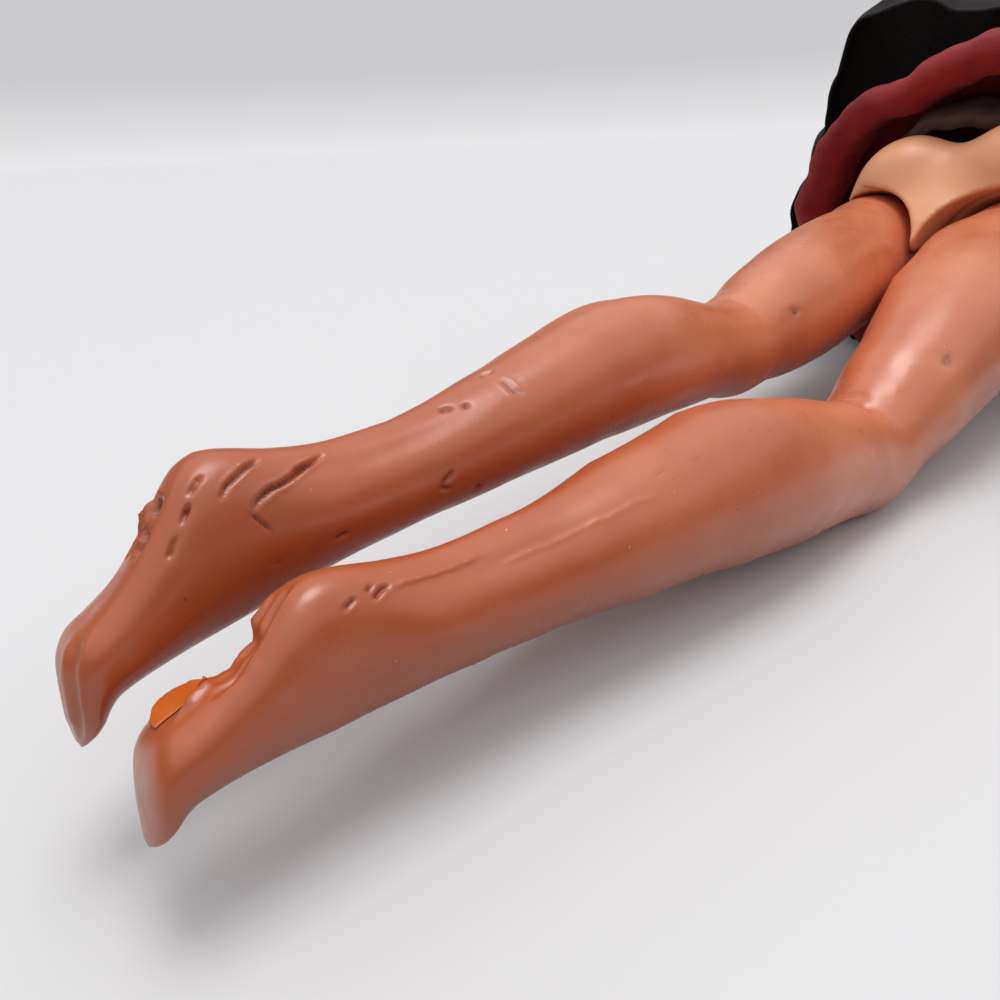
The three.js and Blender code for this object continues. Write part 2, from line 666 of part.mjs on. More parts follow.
// Moves the last station of an outline up
function raised(stations, rise) {
  return stations.map((s, i) => (i === stations.length - 1 ? { ...s, z: s.z + rise } : s));
}
const headStations = [
  { z: -2.6, w: 4.2, back: -4, front: 9.4 },
  { z: -1, w: 6.6, back: -5.6, front: 11.4 },
  { z: 3, w: 8.9, back: -8, front: 12 },
  { z: 8, w: 10.8, back: -12, front: 12.4 },
  { z: 15, w: headHalfWidth - 0.4, back: -14.2, front: 12.6 },
  { z: 22, w: headHalfWidth, back: -14.8, front: 12.4 },
  { z: 28, w: headHalfWidth - 1.6, back: -13.2, front: 11 },
  { z: 32, w: headHalfWidth - 4.8, back: -9.8, front: 7.8 },
  { z: headHeight - 3, w: 2.6, back: -4, front: 2.6 },
];
let head = solid(limb(headStations, 1, 20)).add(solid(ellipsoid(1.7, 2.4, 2.6, new THREE.Vector3(0, 12.4, 11.4), 12, 8)));
const headCavity = ellipsoid(neckKnobRadius + 3, neckKnobRadius + 2.8, 9.5, new THREE.Vector3(0, -0.8, 10), 16, 10);
head = head.subtract(solid(headCavity));
head = head.subtract(solid(rod('z', neckRadius + gap, 2 * neckSocketDepth, new THREE.Vector3())));
piece('head_shell', geometryOf(head), armVinyl(), headGroup);

// Hair: a rooted bob that covers the crown, the sides and the nape
const hairStations = inset(headStations, -hairThickness).map((s) => ({ ...s, front: s.front - 1.4 }));
hairStations[0].z -= 1.2;
hairStations[hairStations.length - 1].z += hairThickness;
let hair = solid(limb(hairStations, 1, 20));
hair = hair.subtract(solid(limb(raised(inset(headStations, -gap), gap), 1, 20)));
const faceMiddle = new THREE.Vector3(0, faceForward, faceHalfHeight - 6.8);
const faceWindow = ellipsoid(headHalfWidth - 2.2, faceDepth, faceHalfHeight, faceMiddle, 16, 10);
hair = hair.subtract(solid(faceWindow));
hair = hair.subtract(solid(rod('z', neckRadius + 2.6, 2 * napeDepth, new THREE.Vector3(0, 1, 4 - napeDepth))));
hair = hair.subtract(solid(block(-wide, wide, 2, wide, -napeDepth, 3)));
piece('hair', geometryOf(hair), hairFibre(), headGroup);

// Arm outline: stations down from the shoulder, splayed outwards as it is moulded
const armStations = [
  { z: 0, w: shoulderRadius, back: -shoulderRadius, front: shoulderRadius },
  { z: -8, w: 4.9, back: -5, front: 5 },
  { z: -22, w: 4.1, back: -4.2, front: 4.2 },
  { z: -38, w: 3.5, back: -3.6, front: 3.5 },
  { z: -46, w: 3.6, back: -3.6, front: 3.6 },
  { z: -60, w: 3.1, back: -3.1, front: 3.2 },
  { z: -74, w: 2.2, back: -2.3, front: 2.3 },
  { z: -78, w: 2.3, back: -2.5, front: 2.3 },
  { z: -84, w: 1.7, back: -4.1, front: 3.4 },
  { z: 4 - armLength, w: 1.4, back: -3.8, front: 3 },
  { z: 1 - armLength, w: 1.1, back: -3, front: 2 },
  { z: -armLength, w: 0.6, back: -2, front: 1 },
];

function addArm({ name, sign }) {
  const shoulder = new THREE.Group();
  shoulder.name = `shoulder_pivot_${name}`;
  const armCentre = shoulderFace + gap + shoulderRadius * 0.8;
  shoulder.position.set(sign * armCentre, 0, shoulderHeight);
  shoulder.rotation.x = rad(180 - armDrop);
  body.add(shoulder);
  const splay = new THREE.Matrix4().makeRotationY(-rad(armSplay));
  let arm = solid(limb(armStations, 1, 14), splay);
  const cap = new THREE.Vector3();
  arm = arm.add(solid(ellipsoid(shoulderRadius, shoulderRadius, shoulderRadius, cap, 14, 10)));
  const thumb = strut(new THREE.Vector3(0, 2.4, -79), new THREE.Vector3(0, 6.2, -86), 1.05, 8);
  arm = arm.add(solid(thumb, splay));
  const inner = shoulderFace + gap - armCentre;
  arm = arm.subtract(solid(block(inner - 20, inner, -20, 20, -20, 20)));
  arm = arm.subtract(solid(rod('x', plugRadius + gap, 7, new THREE.Vector3(inner, 0, 0))));
  piece(`arm_${name}`, mirrored(geometryOf(arm), sign), armVinyl(), shoulder);

  // Shoulder plug: a stem in the arm and a flange caught inside the chest
  const seat = inner + 3.5 - gap;
  const flangeAt = inner - gap - plugReach;
  const plug = turned([
    [0, flangeAt - flangeThickness],
    [plugFlangeRadius, flangeAt - flangeThickness],
    [plugFlangeRadius, flangeAt],
    [plugRadius, flangeAt],
    [plugRadius, seat],
    [0, seat],
  ], 20);
  plug.rotateY(Math.PI / 2);
  piece(`shoulder_plug_${name}`, mirrored(plug, sign), bonePlastic(), shoulder);
}

for (const side of sides) addArm(side);

// Bodice: a close fitting tube of cloth round the chest
const bodiceBase = waistHeight + gap / 2 + gap;
const dressGap = gap;
const bodiceStations = chestStations.filter((s) => s.z <= shoulderHeight);
let bodice = solid(limb(inset(bodiceStations, -dressGap - fabric), 1, 24));
for (const { sign } of sides) {
  const centre = new THREE.Vector3(sign * bustSpread, 10.2, bustHeight);
  const grown = bustRadius + dressGap + fabric;
  bodice = bodice.add(solid(ellipsoid(grown, grown + 1.2, grown, centre, 14, 8)));
}
bodice = bodice.subtract(solid(limb(inset(bodiceStations, -dressGap), 1, 24)));
for (const { sign } of sides) {
  const centre = new THREE.Vector3(sign * bustSpread, 10.2, bustHeight);
  const grown = bustRadius + dressGap;
  bodice = bodice.subtract(solid(ellipsoid(grown, grown + 1.2, grown, centre, 14, 8)));
}
bodice = bodice.intersect(solid(block(-shoulderFace, shoulderFace, -wide, wide, bodiceBase, bodiceTop)));
piece('bodice', geometryOf(bodice), redCloth(), body);

// Snaps on the bodice's back edge
for (let i = 0; i < snapCount; i += 1) {
  const z = bodiceBase + 8 + snapSpacing * i;
  const s = blendStations(chestStations, z);
  const y = s.back - dressGap - fabric - gap - snapThickness / 2;
  const snap = rod('y', snapRadius, snapThickness, new THREE.Vector3(0, y, z), 16);
  piece(`bodice_snap_${i + 1}`, snap, steel(), body);
}

// Waistband: a ribbon round the lower body, just under the waist joint
const bandTop = waistHeight - gap;
const bandStations = [
  { z: bandTop - waistbandHeight, w: waistHalfWidth + 1.5, back: -waistHalfDepth - 0.5, front: waistHalfDepth + 1 },
  { z: bandTop, w: waistHalfWidth + 0.3, back: -waistHalfDepth, front: waistHalfDepth + 0.3 },
];
const bandClear = [
  { ...bandStations[0], z: bandTop - waistbandHeight - 1 },
  { ...bandStations[1], z: bandTop + 1 },
];
const bandOuter = solid(limb(inset(bandStations, -gap - waistbandThickness), 1, 28));
const bandInner = solid(limb(inset(bandClear, -gap), 1, 28));
const pelvisSkin = solid(limb(inset(pelvisStations, -gap), 2, 24));
piece('waistband', geometryOf(bandOuter.subtract(bandInner).subtract(pelvisSkin)), blackCloth(), body);

// Skirt: gathered at the waistband and pushed up, so that its folds ring the hips. Each tier is
// a tube of cloth. Its profile lists [station, radius, share of the folds, distance off the band].
const skirtTop = bandTop - 1.5;
const bandHalfWidth = bandStations[0].w + gap + waistbandThickness;
const bandHalfDepth = bandStations[0].front + gap + waistbandThickness;

function foldedTier({ profile, folds, thickness, count, lobe }) {
  const sections = [];
  for (let k = 0; k < count; k += 1) {
    const angle = (2 * Math.PI * k) / count;
    const radial = new THREE.Vector3(Math.cos(angle), Math.sin(angle), 0);
    const oval = 1 / Math.hypot(Math.cos(angle) / bandHalfWidth, Math.sin(angle) / bandHalfDepth);
    const wave = folds.reduce((sum, f) => sum + f.depth * Math.cos(f.count * angle + f.phase), 0);
    const bump = lobe ? lobe.height * Math.exp(-((wrapped(angle - lobe.angle) / lobe.width) ** 2)) : 0;
    const lift = hemLift * THREE.MathUtils.smoothstep(Math.sin(angle), -0.1, 0.6);
    const outline = profile.map(([z, radius, share, off]) => {
      const lifted = z + (lift * (skirtTop - z)) / (skirtTop - hemStation);
      return [lifted, (1 - share) * (oval + off) + share * (radius + wave + bump)];
    });
    const wall = outline.map(([z, r], i) => {
      const before = outline[Math.max(i - 1, 0)];
      const after = outline[Math.min(i + 1, outline.length - 1)];
      const size = Math.hypot(after[0] - before[0], after[1] - before[1]);
      const dz = (after[0] - before[0]) / size;
      const dr = (after[1] - before[1]) / size;
      return [z + thickness * dr, r - thickness * dz];
    });
    const section = [...outline, ...wall.reverse()];
    sections.push(section.map(([z, r]) => radial.clone().multiplyScalar(r).setZ(z)));
  }
  return ringLoft(sections);
}

function wrapped(angle) {
  return Math.atan2(Math.sin(angle), Math.cos(angle));
}

// The ground under the doll cuts each tier flat where it rests
doll.updateMatrixWorld(true);
const groundInBody = body.matrixWorld.clone().invert();
const ground = solid(block(-300, 300, -300, 300, -120, 0), groundInBody);
const onGround = (geometry) => geometryOf(solid(geometry).subtract(ground));

// Places on the skirt as a share of the way from the hem up to the waistband
const upSkirt = (share) => hemStation + share * (skirtTop - hemStation);

// Red hem tier: its rolled edge faces the feet
const rollRadius = hemRadius - hemRoll;
const hemTier = foldedTier({
  profile: [
    [upSkirt(0.357), rollRadius - 1, 1, 0],
    [upSkirt(0.119), rollRadius, 1, 0],
    [hemStation, hemRadius - 2, 1, 0],
    [upSkirt(0.079), hemRadius + 1, 1, 0],
    [upSkirt(0.357), hemRadius + 1, 1, 0],
    [upSkirt(0.675), hemRadius - 6, 0.8, clothSpacing],
    [skirtTop - 1.6, hemRadius - 14, 0.05, 2 * fabric + clothSpacing + 1.6],
  ],
  folds: [
    { count: 5, depth: 1.0, phase: 0.6 },
    { count: 9, depth: 0.7, phase: 2.1 },
  ],
  thickness: fabric + 0.4,
  count: 40,
});
piece('skirt_hem_tier', onGround(hemTier), redCloth(), body);

// Black lining inside the hem
const liningRadius = rollRadius - 2 * fabric - 3.2;
const lining = foldedTier({
  profile: [
    [upSkirt(0.198), liningRadius - 1.6, 1, 0],
    [upSkirt(0.183), liningRadius - 0.2, 1, 0],
    [upSkirt(0.437), liningRadius + 0.6, 1, 0],
    [upSkirt(0.714), liningRadius - 1.6, 0.7, clothSpacing],
    [skirtTop - 1, liningRadius - 6, 0, gap],
  ],
  folds: [{ count: 7, depth: 0.5, phase: 1.2 }],
  thickness: -fabric,
  count: 36,
});
piece('skirt_lining', onGround(lining), blackCloth(), body);

// Black over tier, standing out behind the hem
const overTier = foldedTier({
  profile: [
    [upSkirt(0.516), overTierRadius - 1, 1, 0],
    [upSkirt(0.675), overTierRadius, 1, 0],
    [upSkirt(0.833), overTierRadius - 7, 0.8, 2],
    [skirtTop + 0.4, overTierRadius - 20, 0, gap + fabric],
  ],
  folds: [
    { count: 6, depth: 1.4, phase: 0.2 },
    { count: 10, depth: 0.8, phase: 1.4 },
  ],
  lobe: { angle: rad(215), height: 7, width: 0.32 },
  thickness: -fabric - 0.4,
  count: 40,
});
piece('skirt_over_tier', onGround(overTier), blackCloth(), body);

// Lays the doll so that the middle of its box is the origin and its lowest point is on the ground
doll.updateMatrixWorld(true);
const box = new THREE.Box3().setFromObject(doll, true);
const middle = box.getCenter(new THREE.Vector3());
doll.position.set(-middle.x, -middle.y, -box.min.z);
doll.updateMatrixWorld(true);

export default doll;
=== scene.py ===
"""A worn one sixth scale fashion doll that lies face down, with a bunched party dress."""

import json
import logging
import math
from dataclasses import dataclass, field
from enum import Enum
from typing import Callable, Sequence

import bpy
import numpy as np
from bpy.types import Material, NodeSocket, NodeTree, Object
from mathutils import Matrix, Vector


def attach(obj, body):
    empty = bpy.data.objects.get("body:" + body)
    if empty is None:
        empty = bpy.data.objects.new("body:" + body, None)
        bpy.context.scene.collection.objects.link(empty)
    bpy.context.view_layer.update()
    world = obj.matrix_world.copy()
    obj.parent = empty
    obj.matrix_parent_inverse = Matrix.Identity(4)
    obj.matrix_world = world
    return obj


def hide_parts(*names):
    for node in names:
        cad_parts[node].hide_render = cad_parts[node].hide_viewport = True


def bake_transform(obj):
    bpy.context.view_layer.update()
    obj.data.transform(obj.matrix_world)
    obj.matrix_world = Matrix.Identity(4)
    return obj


LOG = logging.getLogger("fashion_doll")
MM = 0.001

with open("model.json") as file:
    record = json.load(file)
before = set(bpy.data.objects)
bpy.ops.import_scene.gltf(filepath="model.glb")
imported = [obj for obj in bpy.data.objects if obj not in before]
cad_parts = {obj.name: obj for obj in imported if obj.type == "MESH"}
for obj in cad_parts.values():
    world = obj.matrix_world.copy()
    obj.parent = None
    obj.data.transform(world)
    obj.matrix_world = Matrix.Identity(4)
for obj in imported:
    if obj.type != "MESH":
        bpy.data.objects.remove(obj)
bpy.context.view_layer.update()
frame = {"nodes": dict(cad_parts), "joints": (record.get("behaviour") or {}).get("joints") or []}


class Side(Enum):
    """The doll's own sides; the value is the sign of x on a standing doll."""

    RIGHT = 1
    LEFT = -1

    @property
    def word(self) -> str:
        """The side's name as the joints and nodes use it."""
        return self.name.lower()


class MarkKind(Enum):
    """What has happened to the vinyl at one place."""

    CUT = "cut"
    DENT = "dent"
    CREASE = "crease"
    CHEW = "chew"
    RIDGE = "ridge"


# Sums and meshes


def smooth(low: float, high: float, value: np.ndarray) -> np.ndarray:
    """Rises smoothly from 0 at low to 1 at high."""
    t = np.clip((value - low) / (high - low), 0, 1)
    return t * t * (3 - 2 * t)


def hermite(knots: np.ndarray, values: np.ndarray, at: np.ndarray) -> np.ndarray:
    """Interpolates rows of values smoothly.

    Args:
        knots: rising parameter of each row.
        values: one row for each knot.
        at: the parameters to read.

    Returns:
        One interpolated row for each parameter.
    """
    i = np.clip(np.searchsorted(knots, at, side="right") - 1, 0, len(knots) - 2)
    slope = np.empty_like(values)
    slope[1:-1] = (values[2:] - values[:-2]) / (knots[2:] - knots[:-2])[:, None]
    slope[0] = (values[1] - values[0]) / (knots[1] - knots[0])
    slope[-1] = (values[-1] - values[-2]) / (knots[-1] - knots[-2])
    span = (knots[i + 1] - knots[i])[:, None]
    t = ((at - knots[i])[:, None]) / span
    return (
        (2 * t**3 - 3 * t**2 + 1) * values[i]
        + (t**3 - 2 * t**2 + t) * span * slope[i]
        + (3 * t**2 - 2 * t**3) * values[i + 1]
        + (t**3 - t**2) * span * slope[i + 1]
    )


def lattice_noise(points: np.ndarray, cell: float, seed: int) -> np.ndarray:
    """Smooth noise from -1 to 1 on a lattice.

    Args:
        points: positions, in the unit of cell.
        cell: size of a lattice cell.
        seed: a whole number that picks the pattern.

    Returns:
        One value for each point.
    """
    q = points / cell
    base = np.floor(q).astype(np.int64)
    f = q - base
    f = f * f * (3 - 2 * f)
    total = np.zeros(points.shape[:-1])
    for corner in range(8):
        d = np.array([corner & 1, corner >> 1 & 1, corner >> 2 & 1])
        n = ((base + d) * np.array([73856093, 19349663, 83492791])).sum(-1) + seed * 6542989
        n = (n ^ (n >> 13)) * 1274126177 & 0xFFFFFFFF
        n = (n ^ (n >> 16)) & 0xFFFF
        total += (n / 32767.5 - 1) * np.where(d, f, 1 - f).prod(-1)
    return total


def rough_noise(points: np.ndarray, cell: float, seed: int, octaves: int = 3) -> np.ndarray:
    """Layers of lattice noise, each half the size and half the height of the one before."""
    return sum(lattice_noise(points, cell / 2**k, seed + 17 * k) / 2**k for k in range(octaves))


def grid_normals(grid: np.ndarray) -> np.ndarray:
    """Outward unit normals of a grid of rings.

    Args:
        grid: the points (ring, place round the ring, xyz).

    Returns:
        One normal for each point.
    """
    along = np.gradient(grid, axis=0)
    around = np.roll(grid, -1, axis=1) - np.roll(grid, 1, axis=1)
    normal = np.cross(around, along)
    normal /= np.linalg.norm(normal, axis=-1, keepdims=True) + 1e-12
    middle = grid.mean(axis=1, keepdims=True)
    if ((grid - middle) * normal).sum() < 0:
        normal = -normal
    return normal


def transformed(points: np.ndarray, matrix: np.ndarray) -> np.ndarray:
    """Points moved by a 4 by 4 matrix."""
    return points @ matrix[:3, :3].T + matrix[:3, 3]


def turn_about(axis: Sequence[float], degrees: float) -> np.ndarray:
    """The 4 by 4 matrix of a turn about an axis through the origin."""
    return np.array(Matrix.Rotation(math.radians(degrees), 4, tuple(axis)))


def move_to(place: Sequence[float]) -> np.ndarray:
    """The 4 by 4 matrix of a move from the origin to a place."""
    return np.array(Matrix.Translation(tuple(place)))


def in_scene(name: str, data: bpy.types.ID | None) -> Object:
    """Puts a mesh, a lamp or a camera into the scene.

    Args:
        name: the new object's name.
        data: what the object shows.

    Returns:
        The new object.
    """
    thing = bpy.data.objects.new(name, data)
    bpy.context.scene.collection.objects.link(thing)
    return thing


def closed_mesh(name: str, points: np.ndarray, faces: list[Sequence[int]],
                uv: np.ndarray | None = None) -> Object:
    """A smooth closed mesh whose faces point outwards.

    Args:
        name: the object's name.
        points: its points, in millimetres.
        faces: the point numbers of each face.
        uv: the cloth's flat place of each face's corners, in metres.

    Returns:
        The new object.
    """
    mesh = bpy.data.meshes.new(name)
    mesh.from_pydata([tuple(p) for p in points * MM], [], faces)
    if uv is not None:
        mesh.uv_layers.new(name="flat").data.foreach_set("uv", uv.astype(np.float32).ravel())
    fans = np.array([(f[0], f[k], f[k + 1]) for f in faces for k in range(1, len(f) - 1)])
    a, b, c = (points[fans[:, k]] for k in range(3))
    if np.einsum("ij,ij->i", a, np.cross(b, c)).sum() < 0:
        mesh.flip_normals()
    mesh.shade_smooth()
    return in_scene(name, mesh)


def store(thing: Object, name: str, values: np.ndarray) -> None:
    """Keeps a value at each of an object's vertices under a name."""
    attribute = thing.data.attributes.new(name, "FLOAT", "POINT")
    attribute.data.foreach_set("value", values.astype(np.float32).ravel())


def ring_mesh(name: str, grid: np.ndarray, values: dict[str, np.ndarray] | None = None) -> Object:
    """A smooth mesh over rings that close round, with a fan of faces on each end.

    Args:
        name: the object's name.
        grid: rings of points in millimetres (ring, place, xyz), in the row's frame.
        values: what each point keeps under a name (ring, place).

    Returns:
        The new object.
    """
    rows, sides = grid.shape[:2]
    ring, place = np.meshgrid(np.arange(rows - 1), np.arange(sides), indexing="ij")
    a = ring * sides + place
    b = ring * sides + (place + 1) % sides
    faces = [tuple(q) for q in np.stack([a, a + sides, b + sides, b], -1).reshape(-1, 4).tolist()]
    for hub, row in enumerate((0, rows - 1), rows * sides):
        for k in range(sides):
            pair = (row * sides + k, row * sides + (k + 1) % sides)
            faces.append((hub, *pair) if row == 0 else (hub, pair[1], pair[0]))
    points = np.concatenate([grid.reshape(-1, 3), grid[:1].mean(1), grid[-1:].mean(1)])
    thing = closed_mesh(name, points, faces)
    for key, value in (values or {}).items():
        store(thing, key, np.concatenate([value.ravel(), [0, 0]]))
    return thing


def spread_matrix(points: np.ndarray, places: np.ndarray) -> np.ndarray:
    """How much each place counts at each point: a smooth fall with distance, in millimetres."""
    away = np.linalg.norm(points[:, None, :] - places[None, :, :], axis=-1)
    return np.exp(-away / 14)


@dataclass(frozen=True)
class Section:
    """One slice of a limb in the standing doll, in millimetres.

    back and front are the slice's two ends as (y, z), half is its half width and shift moves it
    along x. A power of 2 draws an ellipse, and a higher one a flatter side with fuller corners.
    """

    back: tuple[float, float]
    front: tuple[float, float]
    half: float
    shift: float = 0.0
    back_power: float = 2.0
    front_power: float = 2.0

    def row(self) -> list[float]:
        """The slice's numbers as one row."""
        return [*self.back, *self.front, self.half, self.shift, self.back_power, self.front_power]


def level(z: float, back: float, front: float, half: float, shift: float = 0.0,
          back_power: float = 2.0, front_power: float = 2.0) -> Section:
    """A slice that lies level at height z."""
    return Section((back, z), (front, z), half, shift, back_power, front_power)


@dataclass
class Loft:
    """A skin drawn through slices."""

    sections: Sequence[Section]
    sides: int = 128

    def knots(self) -> np.ndarray:
        """The length along the middles of the slices, up to each slice.

        Returns:
            One length for each slice.
        """
        rows = np.array([s.row() for s in self.sections])
        middle = (rows[:, 0:2] + rows[:, 2:4]) / 2
        ends = np.linalg.norm(np.diff(rows[:, :4], axis=0), axis=1) / 2
        steps = np.maximum(np.linalg.norm(np.diff(middle, axis=0), axis=1), ends)
        return np.concatenate([[0], np.cumsum(np.maximum(steps, 0.2))])

    def grid(self, spacing: Callable[[np.ndarray], np.ndarray]) -> np.ndarray:
        """Rings of points.

        Args:
            spacing: gives the distance between rings at each length along the skin.

        Returns:
            Points in millimetres (ring, place, xyz). Places run from +x through the front.
        """
        knots = self.knots()
        fine = np.linspace(0, knots[-1], 4000)
        count = np.concatenate([[0], np.cumsum(np.diff(fine) / spacing(fine[1:]))])
        at = np.interp(np.linspace(0, count[-1], int(count[-1]) + 2), count, fine)
        rows = hermite(knots, np.array([s.row() for s in self.sections]), at)
        angle = np.linspace(0, 2 * np.pi, self.sides, endpoint=False)
        c, s = np.cos(angle), np.sin(angle)
        power = np.where(s[None, :] < 0, rows[:, 6:7], rows[:, 7:8])
        across = np.sign(c) * np.abs(c) ** (2 / power)
        through = np.sign(s) * np.abs(s) ** (2 / power)
        middle = (rows[:, 0:2] + rows[:, 2:4]) / 2
        reach = (rows[:, 2:4] - rows[:, 0:2]) / 2
        x = rows[:, 5:6] + rows[:, 4:5] * across
        y = middle[:, 0:1] + reach[:, 0:1] * through
        z = middle[:, 1:2] + reach[:, 1:2] * through
        return np.stack([x, y, z], -1)


# Finishes

RANGE, MIX, MATH = "ShaderNodeMapRange", "ShaderNodeMix", "ShaderNodeMath"
VECTOR_MATH = "ShaderNodeVectorMath"


def linear(code: str) -> tuple[float, float, float, float]:
    """Turns a colour written as sRGB hex to the linear values that a shader takes.

    Args:
        code: the colour, such as #f0aa80.

    Returns:
        Red, green, blue and an opacity of 1.
    """
    values = [int(code[i : i + 2], 16) / 255 for i in (1, 3, 5)]
    r, g, b = [v / 12.92 if v <= 0.04045 else ((v + 0.055) / 1.055) ** 2.4 for v in values]
    return (r, g, b, 1.0)


def add(tree: NodeTree, kind: str, inputs: dict | None = None, out: int | str = 0,
        **settings: object) -> NodeSocket | None:
    """Adds a node to a tree.

    Args:
        tree: the tree that gets the node.
        kind: the node's type name.
        inputs: a value, or the socket to link, for each input by name or number.
        out: the output that is wanted, by name or number.
        settings: the node's own properties.

    Returns:
        That output of the new node, or None where it has no outputs.
    """
    node = tree.nodes.new(kind)
    for key, value in settings.items():
        setattr(node, key, value)
    for key, value in (inputs or {}).items():
        if isinstance(value, NodeSocket):
            tree.links.new(value, node.inputs[key])
        else:
            node.inputs[key].default_value = value
    return node.outputs[out] if len(node.outputs) else None


def noise(tree: NodeTree, place: NodeSocket, size_mm: float, detail: float = 2,
          rough: float = 0.5) -> NodeSocket:
    """Plain noise from 0 to 1.

    Args:
        tree: the material's tree.
        place: the coordinates that it reads, in metres.
        size_mm: about how wide its patches are.
        detail: how many finer layers it has.
        rough: how strong they are.

    Returns:
        The value's socket.
    """
    scale = {"Vector": place, "Scale": 1000 / size_mm, "Detail": detail, "Roughness": rough}
    return add(tree, "ShaderNodeTexNoise", scale, "Fac")


def patches(tree: NodeTree, place: NodeSocket, size_mm: float,
            edges: tuple[float, float] = (0.3, 0.7), span: tuple[float, float] = (0, 1),
            detail: float = 3, rough: float = 0.5) -> NodeSocket:
    """A value that drifts over a surface in patches.

    Args:
        tree: the material's tree.
        place: the coordinates that it reads, in metres.
        size_mm: about how wide a patch is.
        edges: the noise at which the value starts and stops to change.
        span: its value at these two edges.
        detail: how many finer layers the noise has.
        rough: how strong they are.

    Returns:
        The value's socket.
    """
    value = noise(tree, place, size_mm, detail, rough)
    return add(tree, RANGE, {0: value, 1: edges[0], 2: edges[1], 3: span[0], 4: span[1]})


def layered(tree: NodeTree, ground: str, *layers: tuple) -> NodeSocket:
    """Lays colours over one another.

    Args:
        tree: the material's tree.
        ground: the lowest colour, as sRGB hex.
        layers: for each colour above it how much of it shows, from 0 to 1, and its sRGB hex.

    Returns:
        The socket of the colour that is seen.
    """
    colour = linear(ground)
    for share, code in layers:
        colour = add(tree, MIX, {0: share, 6: colour, 7: linear(code)}, 2, data_type="RGBA")
    return colour


def new_material(name: str) -> tuple[Material, NodeTree, NodeSocket]:
    """Starts a material.

    Args:
        name: the material's name.

    Returns:
        The empty material, its tree and the coordinates of the object, in metres.
    """
    material = bpy.data.materials.new(name)
    material.use_nodes = True
    tree = material.node_tree
    tree.nodes.clear()
    return material, tree, add(tree, "ShaderNodeTexCoord", out="Object")


def finish_material(tree: NodeTree, inputs: dict, height: NodeSocket | None = None,
                    depth_mm: float = 0.1) -> None:
    """Ends a tree in the main shader.

    Args:
        tree: the material's tree.
        inputs: a value or a socket for each input of the shader.
        height: the relief of the surface, where it has one.
        depth_mm: how deep a height of 1 is.
    """
    if height is not None:
        bump = add(tree, "ShaderNodeBump", {"Height": height, "Distance": depth_mm * MM, "Strength": 1.0})
        inputs = inputs | {"Normal": bump}
    add(tree, "ShaderNodeOutputMaterial", {"Surface": add(tree, "ShaderNodeBsdfPrincipled", inputs)})


@dataclass(frozen=True)
class MouldedVinyl:
    """Soft PVC from a hot mould: satin, a little see-through, with old scuffs and dust.

    To the eye it has broad soft highlights, redder shadows where light comes through, and pale
    specks of dust that stand out on the shaded sides.
    """

    name: str
    light: str
    deep: str
    # cut is the colour of the painted shade in the grooves of cuts, dents and bites, or of a darker mould
    # seam
    cut: str
    roughness: float = 0.32
    blotch_mm: float = 14
    film_mm: float = 5
    dust_cell_mm: float = 2.1
    grit_cell_mm: float = 4.3
    peel_mm: float = 0.9
    scratch_mm: float = 0.35

    def dots(self, tree: NodeTree, place: NodeSocket, cell_mm: float, radius: float,
             share: float | NodeSocket) -> NodeSocket:
        """Round dots, about one in each cell.

        Args:
            tree: the material's tree.
            place: the coordinates of the object.
            cell_mm: how wide a cell is.
            radius: a dot's radius as a share of the cell.
            share: how much of a dot's colour shows.

        Returns:
            That share inside a dot, and 0 around it.
        """
        far = add(tree, "ShaderNodeTexVoronoi", {"Vector": place, "Scale": 1000 / cell_mm, "Randomness": 1.0})
        inside = add(tree, MATH, {0: far, 1: radius}, operation="LESS_THAN")
        return add(tree, MATH, {0: inside, 1: share}, operation="MULTIPLY")

    def build(self) -> Material:
        """Makes the material.

        Returns:
            The new material.
        """
        material, tree, place = new_material(self.name)
        grime = add(tree, "ShaderNodeAttribute", out="Fac", attribute_name="grime")
        wear = add(tree, "ShaderNodeAttribute", out="Fac", attribute_name="wear")
        dusty = patches(tree, place, 9, (0.42, 0.6), (0, 0.6), 2)
        # The vinyl gets browner towards the foot. Over it lie a grey film of handling, dust and grit 0.1 to
        # 0.15 mm wide, and last the painted shade in the grooves of cuts, dents and bites, or a darker mould
        # seam
        colour = layered(
            tree, self.deep,
            (patches(tree, place, self.blotch_mm, (0.35, 0.65)), self.light),
            (grime, "#b0501f"),
            (patches(tree, place, self.film_mm, (0.52, 0.75), (0, 0.08), 4, 0.6), "#c08c74"),
            (self.dots(tree, place, self.dust_cell_mm, 0.05, dusty), "#e9c7b0"),
            (self.dots(tree, place, self.grit_cell_mm, 0.03, 0.55), "#4f2015"),
            (wear, self.cut),
        )
        gloss = patches(tree, place, 3, (0.3, 0.7), (self.roughness - 0.07, self.roughness + 0.08))
        roughness = add(tree, MATH, {0: wear, 1: 0.2, 2: gloss}, operation="MULTIPLY_ADD")
        # Orange peel, and fine scratches that run along the limb
        peel = noise(tree, place, self.peel_mm)
        along = add(tree, "ShaderNodeMapping", {"Vector": place, "Scale": (1, 0.05, 1)})
        scratch = patches(tree, along, self.scratch_mm, (0.6, 0.9), (0, -0.06), 2, 0.6)
        height = add(tree, MATH, {0: peel, 1: 0.35, 2: scratch}, operation="MULTIPLY_ADD")
        finish_material(tree, {
            "Base Color": colour, "Roughness": roughness, "IOR": 1.53, "Specular IOR Level": 0.7,
            "Sheen Weight": 0.05, "Sheen Roughness": 0.35, "Sheen Tint": linear("#ffe4d4"),
            "Subsurface Weight": 0.12, "Subsurface Radius": (1.0, 0.32, 0.14), "Subsurface Scale": 1.6 * MM,
        }, height, 0.045)
        return material


